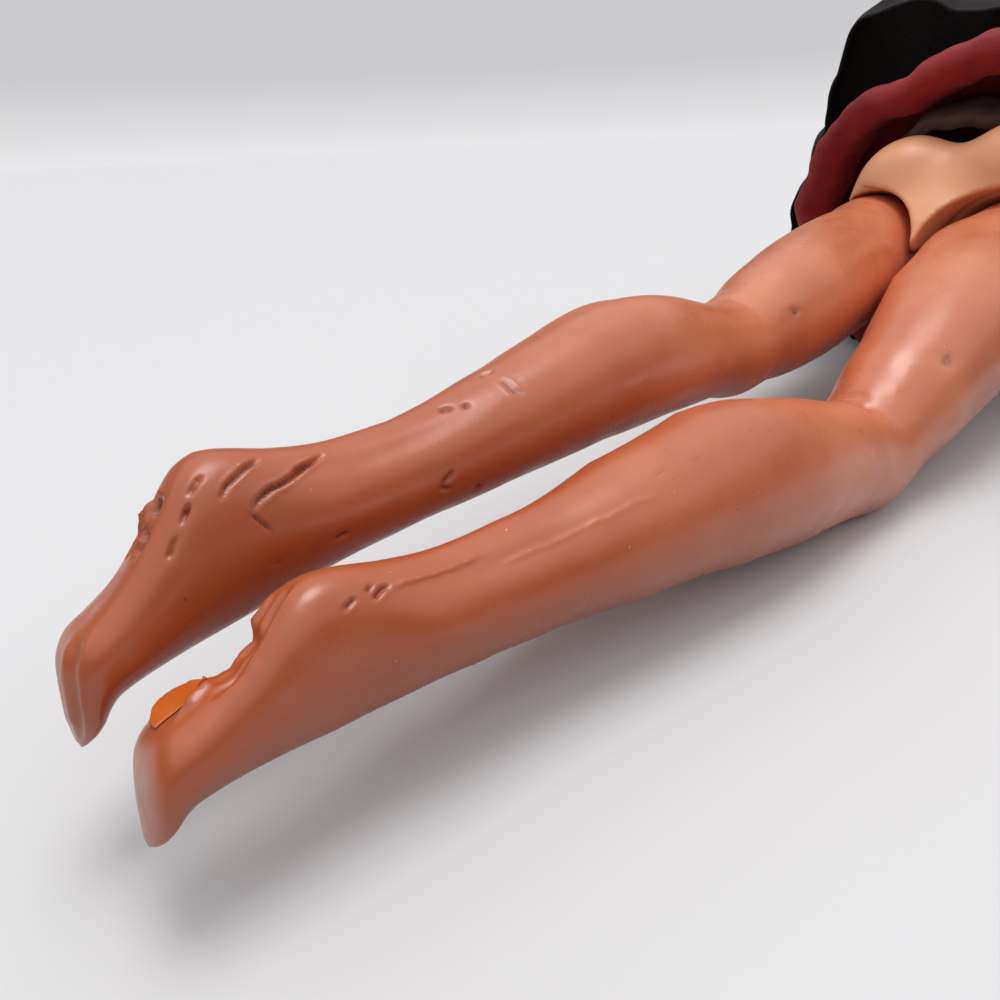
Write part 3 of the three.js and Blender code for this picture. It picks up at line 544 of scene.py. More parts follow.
@dataclass(frozen=True)
class PaintedFace:
    """Matt head vinyl with a sprayed face: brows, lids, eyes, lips and a touch of rouge."""

    name: str
    light: str
    deep: str

    def spot(self, tree: NodeTree, face: NodeSocket, centre: tuple[float, float],
             radii: tuple[float, float], soft: float = 0.12) -> NodeSocket:
        """An oval of the face, with sizes in millimetres.

        Args:
            tree: the material's tree.
            face: the coordinates across the face.
            centre: the oval's middle.
            radii: its half width and half height.
            soft: how wide its soft edge is, as a share of the radii.

        Returns:
            1 inside the oval and 0 outside it.
        """
        x, y = centre
        moved = add(tree, VECTOR_MATH, {0: face, 1: (x * MM, y * MM, 0)}, operation="SUBTRACT")
        size = (1000 / radii[0], 1000 / radii[1], 0)
        scaled = add(tree, VECTOR_MATH, {0: moved, 1: size}, operation="MULTIPLY")
        far = add(tree, VECTOR_MATH, {0: scaled}, "Value", operation="LENGTH")
        return add(tree, RANGE, {0: far, 1: 1 + soft, 2: 1 - soft})

    def crescent(self, tree: NodeTree, face: NodeSocket, upper: tuple, lower: tuple,
                 ) -> NodeSocket:
        """What one oval covers and another leaves free; each is a centre and its radii."""
        ovals = [self.spot(tree, face, *oval) for oval in (upper, lower)]
        return add(tree, MATH, {0: ovals[0], 1: ovals[1]}, operation="SUBTRACT")

    def build(self) -> Material:
        """Makes the material.

        Returns:
            The new material.
        """
        material, tree, place = new_material(self.name)
        face = add(tree, "ShaderNodeUVMap", uv_map="face")
        front = add(tree, "ShaderNodeAttribute", out="Fac", attribute_name="front")
        paints = []
        for side in (-1, 1):
            x = 4.5 * side
            lash = self.crescent(tree, face, ((x, 14.35), (2.75, 1.55)), ((x, 13.8), (2.75, 1.5)))
            brow_x = x + 0.3 * side
            brow = self.crescent(tree, face, ((brow_x, 16.6), (3.1, 1.9)), ((brow_x, 16.1), (3.4, 1.95)))
            paints += [
                (self.spot(tree, face, (6.6 * side, 8.9), (3.0, 2.2), 0.9), "#d9705e", 0.35),
                (self.spot(tree, face, (x, 15.1), (2.9, 1.5), 0.5), "#b98a86", 0.55),
                (self.spot(tree, face, (x, 13.9), (2.35, 1.25)), "#efe9e2", 1.0),
                (self.spot(tree, face, (x, 13.95), (1.15, 1.2)), "#5a3a22", 1.0),
                (self.spot(tree, face, (x, 13.95), (0.55, 0.58)), "#120c0a", 1.0),
                # The white dot on each iris is a painted highlight, printed as part of the doll's face
                (self.spot(tree, face, (x + 0.4, 14.4), (0.26, 0.26)), "#ffffff", 1.0),
                (lash, "#1d120d", 1.0),
                (brow, "#5c3a26", 0.8),
            ]
        paints += [
            (self.spot(tree, face, (0, 7.35), (2.5, 0.75), 0.2), "#b5434a", 0.9),
            (self.spot(tree, face, (0, 6.0), (2.1, 0.8), 0.2), "#c04f55", 0.9),
            (self.spot(tree, face, (0, 6.7), (2.2, 0.16), 0.3), "#7a2228", 0.9),
        ]
        layers = [(patches(tree, place, 12, (0.35, 0.65)), self.light)]
        for mask, code, strength in paints:
            shown = add(tree, MATH, {0: mask, 1: front}, operation="MULTIPLY")
            layers.append((add(tree, MATH, {0: shown, 1: strength}, operation="MULTIPLY"), code))
        finish_material(tree, {
            "Base Color": layered(tree, self.deep, *layers),
            "Roughness": patches(tree, place, 3, span=(0.42, 0.52)),
            "IOR": 1.53,
            "Subsurface Weight": 0.1, "Subsurface Radius": (1.0, 0.35, 0.18), "Subsurface Scale": 1.4 * MM,
        }, noise(tree, place, 0.8), 0.015)
        return material


@dataclass(frozen=True)
class HardPlastic:
    """Rigid moulded plastic, smoother and paler than the vinyl, with a faint flow pattern."""

    name: str
    light: str
    deep: str
    roughness: float = 0.4
    flow_mm: float = 18

    def build(self) -> Material:
        """Makes the material.

        Returns:
            The new material.
        """
        material, tree, place = new_material(self.name)
        seam = add(tree, "ShaderNodeAttribute", out="Fac", attribute_name="wear")
        flow = patches(tree, place, self.flow_mm, (0.35, 0.65))
        finish_material(tree, {
            "Base Color": layered(tree, self.deep, (flow, self.light), (seam, "#7a4326")),
            "Roughness": patches(tree, place, 4, span=(self.roughness - 0.06, self.roughness + 0.06)),
            "IOR": 1.5,
            "Subsurface Weight": 0.08, "Subsurface Radius": (1.0, 0.4, 0.2), "Subsurface Scale": 1.2 * MM,
        }, noise(tree, place, 1.2), 0.02)
        return material


@dataclass(frozen=True)
class WovenCloth:
    """Plain woven party cloth: threads 0.35 mm apart, drawn a little coarser than they are."""

    name: str
    light: str
    deep: str
    sheen: float
    thread_mm: float = 0.45
    roughness: float = 0.7

    def build(self) -> Material:
        """Makes the material.

        Returns:
            The new material.
        """
        material, tree, place = new_material(self.name)
        flat = add(tree, "ShaderNodeUVMap", uv_map="flat")
        wave = {
            "Vector": flat, "Scale": 500 / self.thread_mm,
            "Distortion": 0.6, "Detail": 1.0, "Detail Scale": 0.4,
        }
        warp = add(tree, "ShaderNodeTexWave", wave, "Fac", wave_type="BANDS", bands_direction="X")
        weft = add(tree, "ShaderNodeTexWave", wave, "Fac", wave_type="BANDS", bands_direction="Y")
        weave = add(tree, MATH, {0: warp, 1: weft}, operation="MULTIPLY")
        colour = layered(
            tree, self.deep,
            (patches(tree, place, 9, (0.3, 0.7), detail=4, rough=0.6), self.light),
            (add(tree, RANGE, {0: weave, 1: 0.1, 2: 0.7, 3: 0.35, 4: 0.0}), self.deep),
        )
        fuzz = noise(tree, place, 0.6, 3, 0.7)
        height = add(tree, MATH, {0: fuzz, 1: 0.5, 2: weave}, operation="MULTIPLY_ADD")
        finish_material(tree, {
            "Base Color": colour, "Roughness": self.roughness, "IOR": 1.46, "Sheen Weight": self.sheen,
            "Sheen Roughness": 0.4, "Specular IOR Level": 0.3,
        }, height, 0.09)
        return material


@dataclass(frozen=True)
class Metal:
    """Drawn steel, or a pressed snap: fine scratches on a bright ground."""

    name: str
    tint: str = "#b9bcc0"
    roughness: float = 0.3

    def build(self) -> Material:
        """Makes the material.

        Returns:
            The new material.
        """
        material, tree, place = new_material(self.name)
        across = add(tree, "ShaderNodeMapping", {"Vector": place, "Scale": (1, 8, 8)})
        line = noise(tree, across, 0.5, 3, 0.6)
        finish_material(tree, {
            "Base Color": layered(tree, self.tint, (patches(tree, place, 2, (0.4, 0.7)), "#8d8f92")),
            "Metallic": 1.0,
            "Roughness": add(tree, RANGE, {
                0: line, 1: 0.3, 2: 0.7, 3: self.roughness - 0.08, 4: self.roughness + 0.12,
            }),
        }, line, 0.01)
        return material


@dataclass(frozen=True)
class HairFibre:
    """Rooted saran hair: glossy chestnut threads, a little lighter where they bend to the light."""

    name: str
    light: str
    deep: str

    def build(self) -> Material:
        """Makes the material.

        Returns:
            The new material.
        """
        material, tree, place = new_material(self.name)
        thread = noise(tree, place, 0.3, 2, 0.6)
        shade = add(tree, RANGE, {0: thread, 1: 0.35, 2: 0.65, 3: 0.0, 4: 0.5})
        tone = patches(tree, place, 2.2)
        finish_material(tree, {
            "Base Color": layered(tree, self.deep, (tone, self.light), (shade, self.deep)),
            "Roughness": 0.36, "IOR": 1.5, "Anisotropic": 0.5,
        }, thread, 0.03)
        return material


class Wardrobe:
    """Every finish of the doll, made once."""

    def __init__(self) -> None:
        """Builds the materials."""
        # The last colour of each vinyl is painted shade in the grooves of its cuts, dents and bites, or its
        # mould seam's own colour
        self.leg = MouldedVinyl("satin_leg_vinyl", "#de8157", "#cc6e47", "#5e2012").build()
        self.flap = MouldedVinyl("torn_vinyl_edge", "#d86a22", "#c4561c", "#8a3a18").build()
        self.skin = HardPlastic("moulded_body_plastic", "#f6b086", "#eba374").build()
        self.arm = MouldedVinyl("satin_arm_vinyl", "#de9668", "#d2865a", "#8a4a30").build()
        self.face = PaintedFace("painted_head_vinyl", "#e4a27a", "#da966c").build()
        self.thread = WovenCloth("red_sewing_thread", "#98282a", "#641418", 0.1, 0.3, 0.55).build()
        self.bone = HardPlastic("bone_plastic", "#e8e1d2", "#dcd3c0", 0.5).build()
        self.steel = Metal("drawn_steel").build()
        self.snap = Metal("nickel_snap", "#c9c6be", 0.25).build()
        self.red = WovenCloth("red_party_cloth", "#bd3633", "#841d1f", 0.06).build()
        self.black = WovenCloth("black_over_cloth", "#1b0d0c", "#0c0504", 0.04).build()
        # The black lining gets a lit charcoal colour: painted light on the fold that rolls over the hips
        self.brown = WovenCloth("charcoal_lining_cloth", "#786059", "#4a3733", 0.08).build()
        self.hair = HairFibre("brown_doll_hair", "#5a3420", "#2c170d").build()


# The doll's frame


@dataclass(frozen=True)
class LegPose:
    """How one leg lies, in degrees: forward, outward and twist at the hip, and bend at the knee."""

    flex: float
    spread: float
    turn: float
    knee: float


@dataclass
class Stance:
    """Where the doll's parts lie in the row's frame, in millimetres."""

    pitch: float = 11.6
    hip_half_spacing: float = 12.3
    knee_pivot: tuple[float, float, float] = (-1.3, 0.5, -59.5)
    poses: dict[Side, LegPose] = field(default_factory=lambda: {
        Side.RIGHT: LegPose(4.0, 3.3, -14.1, 21.4),
        Side.LEFT: LegPose(-6.9, -4.9, 10.9, 4.9),
    })
    pivots: dict[str, np.ndarray] = field(default_factory=dict)
    body: np.ndarray = field(default_factory=lambda: np.eye(4))

    def __post_init__(self) -> None:
        """Reads the pivots of the joints and lays the body on them."""
        for joint in frame["joints"]:
            self.pivots[joint["name"]] = np.array(joint["pos_m"]) / MM
        middle = (self.pivots["hip_right"] + self.pivots["hip_left"]) / 2
        self.body = move_to(middle) @ turn_about((1, 0, 0), self.pitch - 90)

    def body_turn(self) -> np.ndarray:
        """How the body lies, without its place.

        Returns:
            The matrix of its turn.
        """
        turn = self.body.copy()
        turn[:3, 3] = 0
        return turn

    def hip(self, side: Side) -> np.ndarray:
        """How a thigh lies.

        Args:
            side: the doll's side.

        Returns:
            The matrix from the standing leg to the row's frame.
        """
        pose = self.poses[side]
        sign = side.value
        place = move_to((sign * self.hip_half_spacing, 0, 0))
        spread = turn_about((0, 1, 0), -sign * pose.spread)
        flex = turn_about((1, 0, 0), pose.flex)
        twist = turn_about((0, 0, 1), sign * pose.turn)
        return self.body @ place @ spread @ flex @ twist


# Legs


@dataclass(frozen=True)
class Mark:
    """One cut, dent, bite, crease or ridge on a leg.

    Places are (height, degrees): the height along the standing leg from the hip, in millimetres,
    and the angle round it from the outer side through the front. width and depth are in millimetres.
    """

    kind: MarkKind
    start: tuple[float, float]
    end: tuple[float, float]
    width: float
    depth: float


LEG_SECTIONS = (
    level(10.55, -0.9, 0.9, 0.9),
    level(10.2, -2.9, 2.9, 2.9),
    level(9.0, -5.6, 5.6, 5.6),
    level(6.8, -8.13, 8.13, 8.13),
    level(3.6, -9.97, 9.97, 9.97),
    level(0, -10.6, 10.6, 10.6),
    level(-12, -10.9, 10.4, 10.6, -0.2),
    level(-34, -10.2, 10.6, 10.4, -0.6),
    level(-47, -8.6, 9.7, 8.9, -0.9),
    level(-52.5, -7.3, 8.9, 7.9, -1.1),
    level(-59.5, -6.9, 8.4, 7.5, -1.3),
    level(-66.5, -7.6, 7.7, 7.6, -1.4),
    level(-78.5, -9.9, 6.9, 8.3, -1.6),
    level(-86.5, -10.3, 6.6, 8.4, -1.7),
    level(-96, -8.9, 6.2, 7.7, -1.9),
    level(-108, -6.5, 5.8, 6.5, -2.1),
    level(-117, -4.9, 5.7, 5.5, -2.2),
    level(-126.4, -4.3, 5.7, 4.9, -2.3),
    level(-132.4, -5.0, 6.1, 4.4, -2.3, 2.1),
    Section((-6.0, -137.4), (6.5, -136.2), 4.0, -2.3, 2.3),
    Section((-5.5, -140.6), (6.8, -138.8), 3.9, -2.3, 2.6),
    Section((-3.0, -143.9), (7.0, -141.8), 3.9, -2.3, 2.8),
    Section((-0.6, -146.9), (7.2, -144.9), 4.0, -2.3, 2.8),
    Section((0.8, -148.9), (7.4, -147.3), 4.2, -2.3, 2.9),
    Section((1.8, -150.4), (7.7, -148.9), 4.2, -2.3, 3.0),
    Section((3.2, -151.3), (8.2, -149.6), 4.0, -2.3, 3.0),
    Section((5.1, -151.7), (8.9, -150.2), 3.6, -2.3, 3.0),
    Section((7.0, -151.85), (9.4, -150.8), 2.8, -2.3, 2.6),
    Section((8.5, -151.85), (9.7, -151.35), 1.7, -2.3, 2.2),
    Section((9.3, -151.8), (9.8, -151.65), 0.6, -2.3),
)


# Where old handling has pushed the soft legs out of their moulded shape: each row is a place on the
# standing right leg and how far the vinyl there has moved, in millimetres
LEG_PUSHES = {
    Side.RIGHT: (
        (-7.1, -8.2, -5.9, -1.6, -2.74, -0.26), (8.3, 6.6, -5.9, 1.29, 2.21, 0.21),
        (-7.9, -7.6, -21.9, -1.07, -1.65, -0.32), (8.5, 6.1, -21.9, 0.32, 0.49, 0.1),
        (-8.3, -6.3, -38, 0.49, 0.75, 0.15), (7.8, 5.8, -38, -0.28, -0.43, -0.09),
        (-6.9, -4.7, -52.2, 0.34, 0.54, 0.1), (5.3, 5.7, -52.2, -0.05, -0.04, -0.02),
        (-3, -7.6, -67, 0.03, 0.16, -0.02), (0, 7.6, -67.1, 0.14, 0.97, -0.16),
        (-3.8, -10.1, -79.9, 0.13, 0.63, -0.05), (0.5, 6.6, -79.9, 0.38, 1.76, -0.1),
        (-4.7, -9.2, -91.9, -0.25, -0.71, -0.09), (2.1, 5.4, -91.9, 0.44, 1.29, 0.13),
        (-4.4, -6.5, -106.2, -0.3, -0.8, -0.11), (1.3, 5, -106.2, 0.37, 1.02, 0.14),
        (-3.2, -4.7, -120.1, -0.02, -0.08, -0.01), (0.1, 5.1, -120, 0.14, 0.4, 0.05),
        (-1.8, 9.7, -151.7, -0.65, -0.74, -0.59), (-1.9, 3.5, -151.4, -0.01, -0.54, 0.17),
        (-4.9, 1.7, -150, 0.2, -0.13, 0.31), (-5.4, 1, -148.2, 0.15, 0.2, 0.14),
        (-2.3, -1.9, -145.2, 0.5, 0.52, 0.48), (-5.2, -2.5, -143, 0.63, 0.61, 0.61),
        (-4.3, -4.5, -141.6, 0.56, 0.37, 0.61), (-4, -5.4, -140, 0.56, 0.4, 0.6),
        (-3.9, -5.7, -137.9, 0.52, 0.66, 0.45), (-4, -5.3, -135.7, 0.35, 0.55, 0.26),
        (-2.3, 8.6, -150, -0.51, -0.84, -0.38), (-2.5, 7.7, -148.8, -0.5, -0.82, -0.37),
        (-1.9, 7.3, -146.3, -0.23, -0.84, -0.02), (-1.7, 7, -143.1, -0.01, -0.73, 0.23),
    ),
    Side.LEFT: (
        (5, -9.6, -5.9, -0.52, 1.1, -0.02), (3.7, -10, -21.9, -0.25, 0.51, 0.01),
        (3.8, -8.8, -38, -0.52, 1.02, 0.03), (2.5, -6.5, -52.2, -0.5, 0.96, 0.04),
        (-5.1, 7.8, -52.2, 0.03, -0.07, 0.01), (-0.1, -7.6, -67.1, -0.34, 1.68, -0.4),
        (-1.4, 7.7, -67.1, 0.22, -1.2, 0.31), (-0.1, -10.1, -79.9, -0.2, 0.81, -0.15),
        (-2.5, 6.9, -79.9, 0.24, -0.93, 0.16), (0.5, -9.4, -91.9, -0.1, 0.24, -0.01),
        (-4.1, 6.1, -91.9, 0.41, -0.98, -0.01), (-0.2, -6.7, -105.8, -0.09, 0.2, 0.01),
        (-4.9, 5.3, -105.8, 0.3, -0.67, -0.02), (-1.8, -4.9, -120.1, -0.06, 0.13, 0.01),
        (-3.6, 5.6, -120, 0.23, -0.58, 0.02), (-2.8, 9.7, -151.7, 0.18, 0.48, -0.43),
        (0.5, 6.7, -151.6, -0.16, 0.26, 0.06), (-1.4, 7.7, -151.8, 0.22, 0.41, -0.45),
        (1, 6, -151.4, -0.2, 0.36, 0.05), (0.5, 2.3, -150.5, -0.52, 0.21, 0.49),
        (-1.6, 0.6, -148.6, -0.69, 0.51, 0.55), (0.8, -0.7, -145.3, -0.84, 0.81, 0.57),
        (0.3, -3.4, -142.4, -0.46, 0.13, 0.46), (-1, -5.5, -140.4, -0.21, -1.16, 0.79),
        (-1.1, -5.9, -138.3, 0.15, -1.46, 0.51), (-2.5, -5.9, -136.5, 0, -1.04, 0.49),
        (-4.2, 8.9, -150.7, -0.02, -0.04, 0.04), (-3.3, 7.7, -149.1, 0.01, -0.42, 0.19),
        (-2.4, 7.3, -146.3, 0, -0.38, 0.18), (-4.8, 6, -142.8, 0.11, -0.42, 0.08),
    ),
}


CUT, DENT, CREASE, CHEW, RIDGE = MarkKind

LEG_MARKS = {
    Side.LEFT: (
        Mark(CUT, (-129.1, 241), (-136.3, 198), 0.21, 0.6),
        Mark(CUT, (-130.6, 233), (-132.2, 224), 0.2, 0.35),
        Mark(CUT, (-134.1, 243), (-137.9, 213), 0.19, 0.45),
        Mark(CUT, (-136.6, 194), (-135.8, 182), 0.17, 0.35),
        Mark(DENT, (-138.7, 237), (-139.6, 233), 0.2, 0.35),
        Mark(DENT, (-140.3, 226), (-140.9, 222), 0.22, 0.4),
        Mark(DENT, (-141.9, 218), (-142.6, 215), 0.2, 0.35),
        Mark(CHEW, (-140.9, 272), (-143.7, 262), 0.55, 0.95),
        Mark(CHEW, (-141.3, 286), (-143.6, 278), 0.5, 0.9),
        Mark(DENT, (-141.3, 266), (-141.6, 265), 0.34, 0.9),
        Mark(RIDGE, (-149.7, 266), (-151.9, 248), 0.55, 0.3),
        Mark(CREASE, (-149.4, 250), (-151.8, 222), 0.5, 0.22),
        Mark(RIDGE, (-148.9, 237), (-151.9, 198), 0.28, 0.16),
        Mark(DENT, (-130.7, 160), (-129.6, 160), 0.26, 0.3),
        Mark(DENT, (-136.3, 158), (-136.0, 157), 0.24, 0.25),
        Mark(DENT, (-118.4, 176), (-119.3, 170), 0.26, 0.35),
        Mark(CUT, (-119.7, 166), (-118.6, 160), 0.24, 0.3),
        Mark(DENT, (-115.2, 145), (-114.7, 144), 0.3, 0.35),
        Mark(DENT, (-115.6, 245), (-115.0, 243), 0.36, 0.35),
        Mark(DENT, (-113.6, 236), (-113.2, 235), 0.3, 0.25),
        Mark(CUT, (-108.9, 260), (-107.9, 256), 0.3, 0.4),
        Mark(CUT, (-108.2, 239), (-107.9, 215), 0.26, 0.35),
        Mark(CUT, (-96.0, 286), (-90.8, 282), 0.22, 0.25),
        Mark(DENT, (-52.2, 198), (-51.4, 197), 0.8, 0.3),
    ),
    Side.RIGHT: (
        Mark(CREASE, (-141.8, 246), (-145.4, 248), 2.5, 1.7),
        Mark(RIDGE, (-139.8, 256), (-148.4, 276), 0.4, 0.6),
        Mark(CREASE, (-139.6, 271), (-146.2, 288), 0.42, 0.5),
        Mark(CUT, (-139.4, 272), (-142.4, 279), 0.3, 0.35),
        Mark(CHEW, (-143.4, 246), (-144.4, 250), 0.45, 0.7),
        Mark(CHEW, (-141.2, 242), (-145.6, 256), 0.26, 0.4),
        Mark(CUT, (-134.8, 321), (-133.5, 311), 0.2, 0.45),
        Mark(CUT, (-135.2, 314), (-134.6, 309), 0.2, 0.3),
        Mark(RIDGE, (-133.5, 311), (-124.5, 300), 0.26, 0.2),
        Mark(CUT, (-137.1, 325), (-136.2, 320), 0.19, 0.3),
        Mark(RIDGE, (-123.2, 317), (-114.9, 319), 0.26, 0.12),
        Mark(RIDGE, (-114.9, 319), (-105.8, 323), 0.26, 0.08),
        Mark(CUT, (-104.0, 309), (-103.5, 308), 0.2, 0.25),
        Mark(CUT, (-99.6, 313), (-99.2, 313), 0.2, 0.25),
        Mark(CUT, (-89.1, 317), (-88.8, 317), 0.18, 0.2),
        Mark(CUT, (-127.3, 59), (-125.4, 55), 0.24, 0.3),
        Mark(DENT, (-45.4, 323), (-44.8, 323), 0.9, 0.25),
        Mark(CREASE, (-59.5, 228), (-60.5, 298), 0.75, 0.9),
        Mark(CUT, (-59.6, 240), (-60.3, 284), 0.3, 0.35),
        Mark(CREASE, (-63.5, 285), (-61.5, 312), 0.6, 0.4),
        Mark(CREASE, (-56.5, 250), (-57.3, 286), 0.5, 0.4),
    ),
}


@dataclass
class Leg:
    """A bending vinyl leg in one skin, from its ball top at the hip to the toes."""

    side: Side
    stance: Stance
    marks: Sequence[Mark]
    sides: int = 176
    knee_half: float = 6.9

    def spacing(self, length: np.ndarray) -> np.ndarray:
        """Distance between rings: fine at the foot and ankle, where the bites and cuts are."""
        return 0.6 - 0.37 * smooth(112, 132, length)

    def standing(self) -> np.ndarray:
        """The right leg's bare grid, straight and standing."""
        return Loft(LEG_SECTIONS, self.sides).grid(self.spacing)

    def muscles(self, grid: np.ndarray) -> np.ndarray:
        """The muscles, the kneecap and the bones.

        Args:
            grid: the plain standing leg.

        Returns:
            How far each point stands out of it, in millimetres.
        """
        z = grid[..., 2]
        angle = np.degrees(np.linspace(0, 2 * np.pi, self.sides, endpoint=False))[None, :]

        def lump(height: float, centre: float, tall: float, wide: float, size: float) -> np.ndarray:
            """One soft rise at a height and an angle."""
            away = (angle - centre + 180) % 360 - 180
            return size * np.exp(-(((z - height) / tall) ** 2) - (away / wide) ** 2)

        total = lump(-78, 235, 11, 26, 0.55) + lump(-82, 305, 11, 26, 0.5)
        total += lump(-60, 90, 4.5, 40, 0.45) + lump(-100, 90, 26, 14, 0.25)
        total += lump(-20, 0, 18, 50, 0.25) + lump(-130, 0, 3.2, 26, 0.35) + lump(-130, 180, 3.2, 26, 0.35)
        total += lump(-120, 270, 12, 16, 0.35) - lump(-122, 225, 9, 14, 0.3) - lump(-122, 315, 9, 14, 0.3)
        total -= lump(-59.5, 270, 1.6, 60, 0.35) + lump(-74, 270, 16, 8, 0.25)
        return total

    def pushed(self, grid: np.ndarray) -> np.ndarray:
        """Spreads the pushes smoothly over the leg, fading out at the ball in the hip.

        Args:
            grid: the standing leg with its muscles.

        Returns:
            The grid of the pushed leg.
        """
        rows = np.array([*LEG_PUSHES[self.side], *((0, d, 6, 0, 0, 0) for d in (-9, 9))])
        places, moves = rows[:, :3], rows[:, 3:]
        weights = np.linalg.solve(spread_matrix(places, places) + 0.12 * np.eye(len(rows)), moves)
        shift = spread_matrix(grid.reshape(-1, 3), places) @ weights
        return grid + shift.reshape(grid.shape) * smooth(2, -12, grid[..., 2:3])

    def spot(self, grid: np.ndarray, height: float, degrees: float) -> tuple[int, int]:
        """Finds a place on the leg.

        Args:
            grid: the standing leg.
            height: its height, in millimetres.
            degrees: its angle round the leg.

        Returns:
            The ring, and the place on it.
        """
        row = np.abs(grid[..., 2].mean(1) - height).argmin()
        return int(row), int(round(degrees / 360 * self.sides)) % self.sides

    def trail(self, grid: np.ndarray, mark: Mark) -> np.ndarray:
        """The points that a mark runs through on the skin, about 0.7 mm apart.

        Args:
            grid: the standing leg.
            mark: the sign of wear.

        Returns:
            The points, in millimetres.
        """
        ends = np.array([grid[self.spot(grid, *mark.start)], grid[self.spot(grid, *mark.end)]])
        steps = max(2, int(np.linalg.norm(ends[1] - ends[0]) / 0.7) + 1)
        return np.array([grid[self.spot(grid, *way)] for way in np.linspace(mark.start, mark.end, steps)])

    def worn(self, grid: np.ndarray) -> tuple[np.ndarray, np.ndarray]:
        """Cuts, dents and bites.

        Args:
            grid: the right leg's grid with its muscles.

        Returns:
            How far each point moves out along its normal, and how much painted shade it gets in a groove,
            from 0 to 1.
        """
        lift = np.zeros(grid.shape[:2])
        groove_shade = np.zeros(grid.shape[:2])
        for number, mark in enumerate(self.marks):
            trail = self.trail(grid, mark)
            low, high = trail[:, 2].min(), trail[:, 2].max()
            near = 5 * mark.width + 1
            reach = (grid[..., 2] > low - near) & (grid[..., 2] < high + near)
            p = grid[reach]
            p = p + 0.3 * mark.width * lattice_noise(p, 1.0, 3 + number)[:, None]
            away = np.full(len(p), 99.0)
            t = np.zeros(len(p))
            for k, (a, b) in enumerate(zip(trail[:-1], trail[1:])):
                axis = b - a
                along = np.clip(((p - a) @ axis) / max(float(axis @ axis), 1e-6), 0, 1)
                gap = np.linalg.norm(p - (a + along[:, None] * axis), axis=1) / mark.width
                closer = gap < away
                away = np.where(closer, gap, away)
                t = np.where(closer, (k + along) / (len(trail) - 1), t)
            taper = smooth(-0.12, 0.22, t) * smooth(1.12, 0.78, t)
            # Cuts, dents and bites also paint shade into their deepest part
            if mark.kind is MarkKind.CUT:
                groove = np.exp(-(away**2) * 1.3) * taper
                lip = np.exp(-(((away - 1.9) / 0.7) ** 2)) * taper
                lift[reach] += mark.depth * (0.2 * lip - groove)
                groove_shade[reach] = np.maximum(groove_shade[reach], 0.75 * np.exp(-(away**2) * 2.4) * taper)
            elif mark.kind is MarkKind.DENT:
                chip = np.exp(-(away**2)) * (1 + 0.5 * lattice_noise(p, 0.5, 70 + number))
                lift[reach] -= mark.depth * chip
                groove_shade[reach] = np.maximum(groove_shade[reach], np.clip(0.6 * chip**2, 0, 1))
            elif mark.kind is MarkKind.CREASE:
                lift[reach] -= mark.depth * np.exp(-(away**2)) * taper
            elif mark.kind is MarkKind.RIDGE:
                lift[reach] += mark.depth * np.exp(-(away**2)) * taper
            else:
                bite = rough_noise(p, 0.9, 40 + number, 3)
                mask = np.exp(-((away / 1.2) ** 4))
                lift[reach] += mark.depth * mask * (bite - 0.25)
                groove_shade[reach] = np.maximum(groove_shade[reach], mask * smooth(0.0, -0.6, bite) * 0.95)
        return lift, groove_shade

    def laid(self, grid: np.ndarray) -> np.ndarray:
        """Bends the knee and lays the leg where the doll's leg lies.

        Args:
            grid: the standing right leg.

        Returns:
            The same grid in the row's frame.
        """
        pose = self.stance.poses[self.side]
        pivot = np.array(self.stance.knee_pivot)
        t = np.clip((pivot[2] + self.knee_half - grid[..., 2]) / (2 * self.knee_half), 0, 1)
        bend = -np.radians(pose.knee) * t * t * (3 - 2 * t)
        rel = grid - pivot
        c, s = np.cos(bend), np.sin(bend)
        y = rel[..., 1] * c - rel[..., 2] * s
        z = rel[..., 1] * s + rel[..., 2] * c
        bent = np.stack([rel[..., 0], y, z], -1) + pivot
        bent[..., 0] *= self.side.value
        return transformed(bent, self.stance.hip(self.side))

    def read(self, values: np.ndarray, row: np.ndarray, column: np.ndarray) -> np.ndarray:
        """Reads a grid of vectors between its points.

        Args:
            values: the grid (ring, place, xyz).
            row: the ring to read at, which may lie between two.
            column: the place on it; columns go on round the ring.

        Returns:
            One vector for each row and column.
        """
        r, c = row.astype(int), column.astype(int)
        fr, fc = (row - r)[..., None], (column - c)[..., None]
        below, beside = np.minimum(r + 1, len(values) - 1), (c + 1) % self.sides
        c = c % self.sides
        upper = values[r, c] * (1 - fc) + values[r, beside] * fc
        lower = values[below, c] * (1 - fc) + values[below, beside] * fc
        return upper * (1 - fr) + lower * fr

    def torn_flap(self, grid: np.ndarray, laid: np.ndarray, wardrobe: Wardrobe) -> None:
        """A thin tongue of vinyl that has been torn up along the edge of the right sole.

        Args:
            grid: the standing leg's grid, in which places are given.
            laid: the same grid in the row's frame.
            wardrobe: the finishes.
        """
        heights = grid[..., 2].mean(1)
        share = np.linspace(0, 1, 48)[:, None]
        turn = np.linspace(0, 2 * np.pi, 28, endpoint=False)[None, :]
        far = (1 + np.cos(turn)) / 2
        ragged = 1 + 0.07 * lattice_noise(np.concatenate([share * 14, share, share], 1), 0.8, 91)[:, None]
        length = np.sin(np.pi * np.clip(share, 0.03, 0.97)) ** 0.5 * ragged
        row = np.interp(145.6 + 4.0 * share[:, 0], -heights, np.arange(len(heights)))[:, None] + 0 * far
        column = (270 - 34 * length * far) / 360 * self.sides
        skin, out = (self.read(values, row, column) for values in (laid, grid_normals(laid)))
        rise = 0.1 + 0.75 * length * far**2 + 0.2 * (1 - 0.6 * far) * np.sin(turn)
        tongue = skin + out * rise[..., None]
        flap = ring_mesh("torn_sole_flap", tongue)
        dressed(flap, wardrobe.flap, "leg_vinyl", f"shin_{self.side.word}")

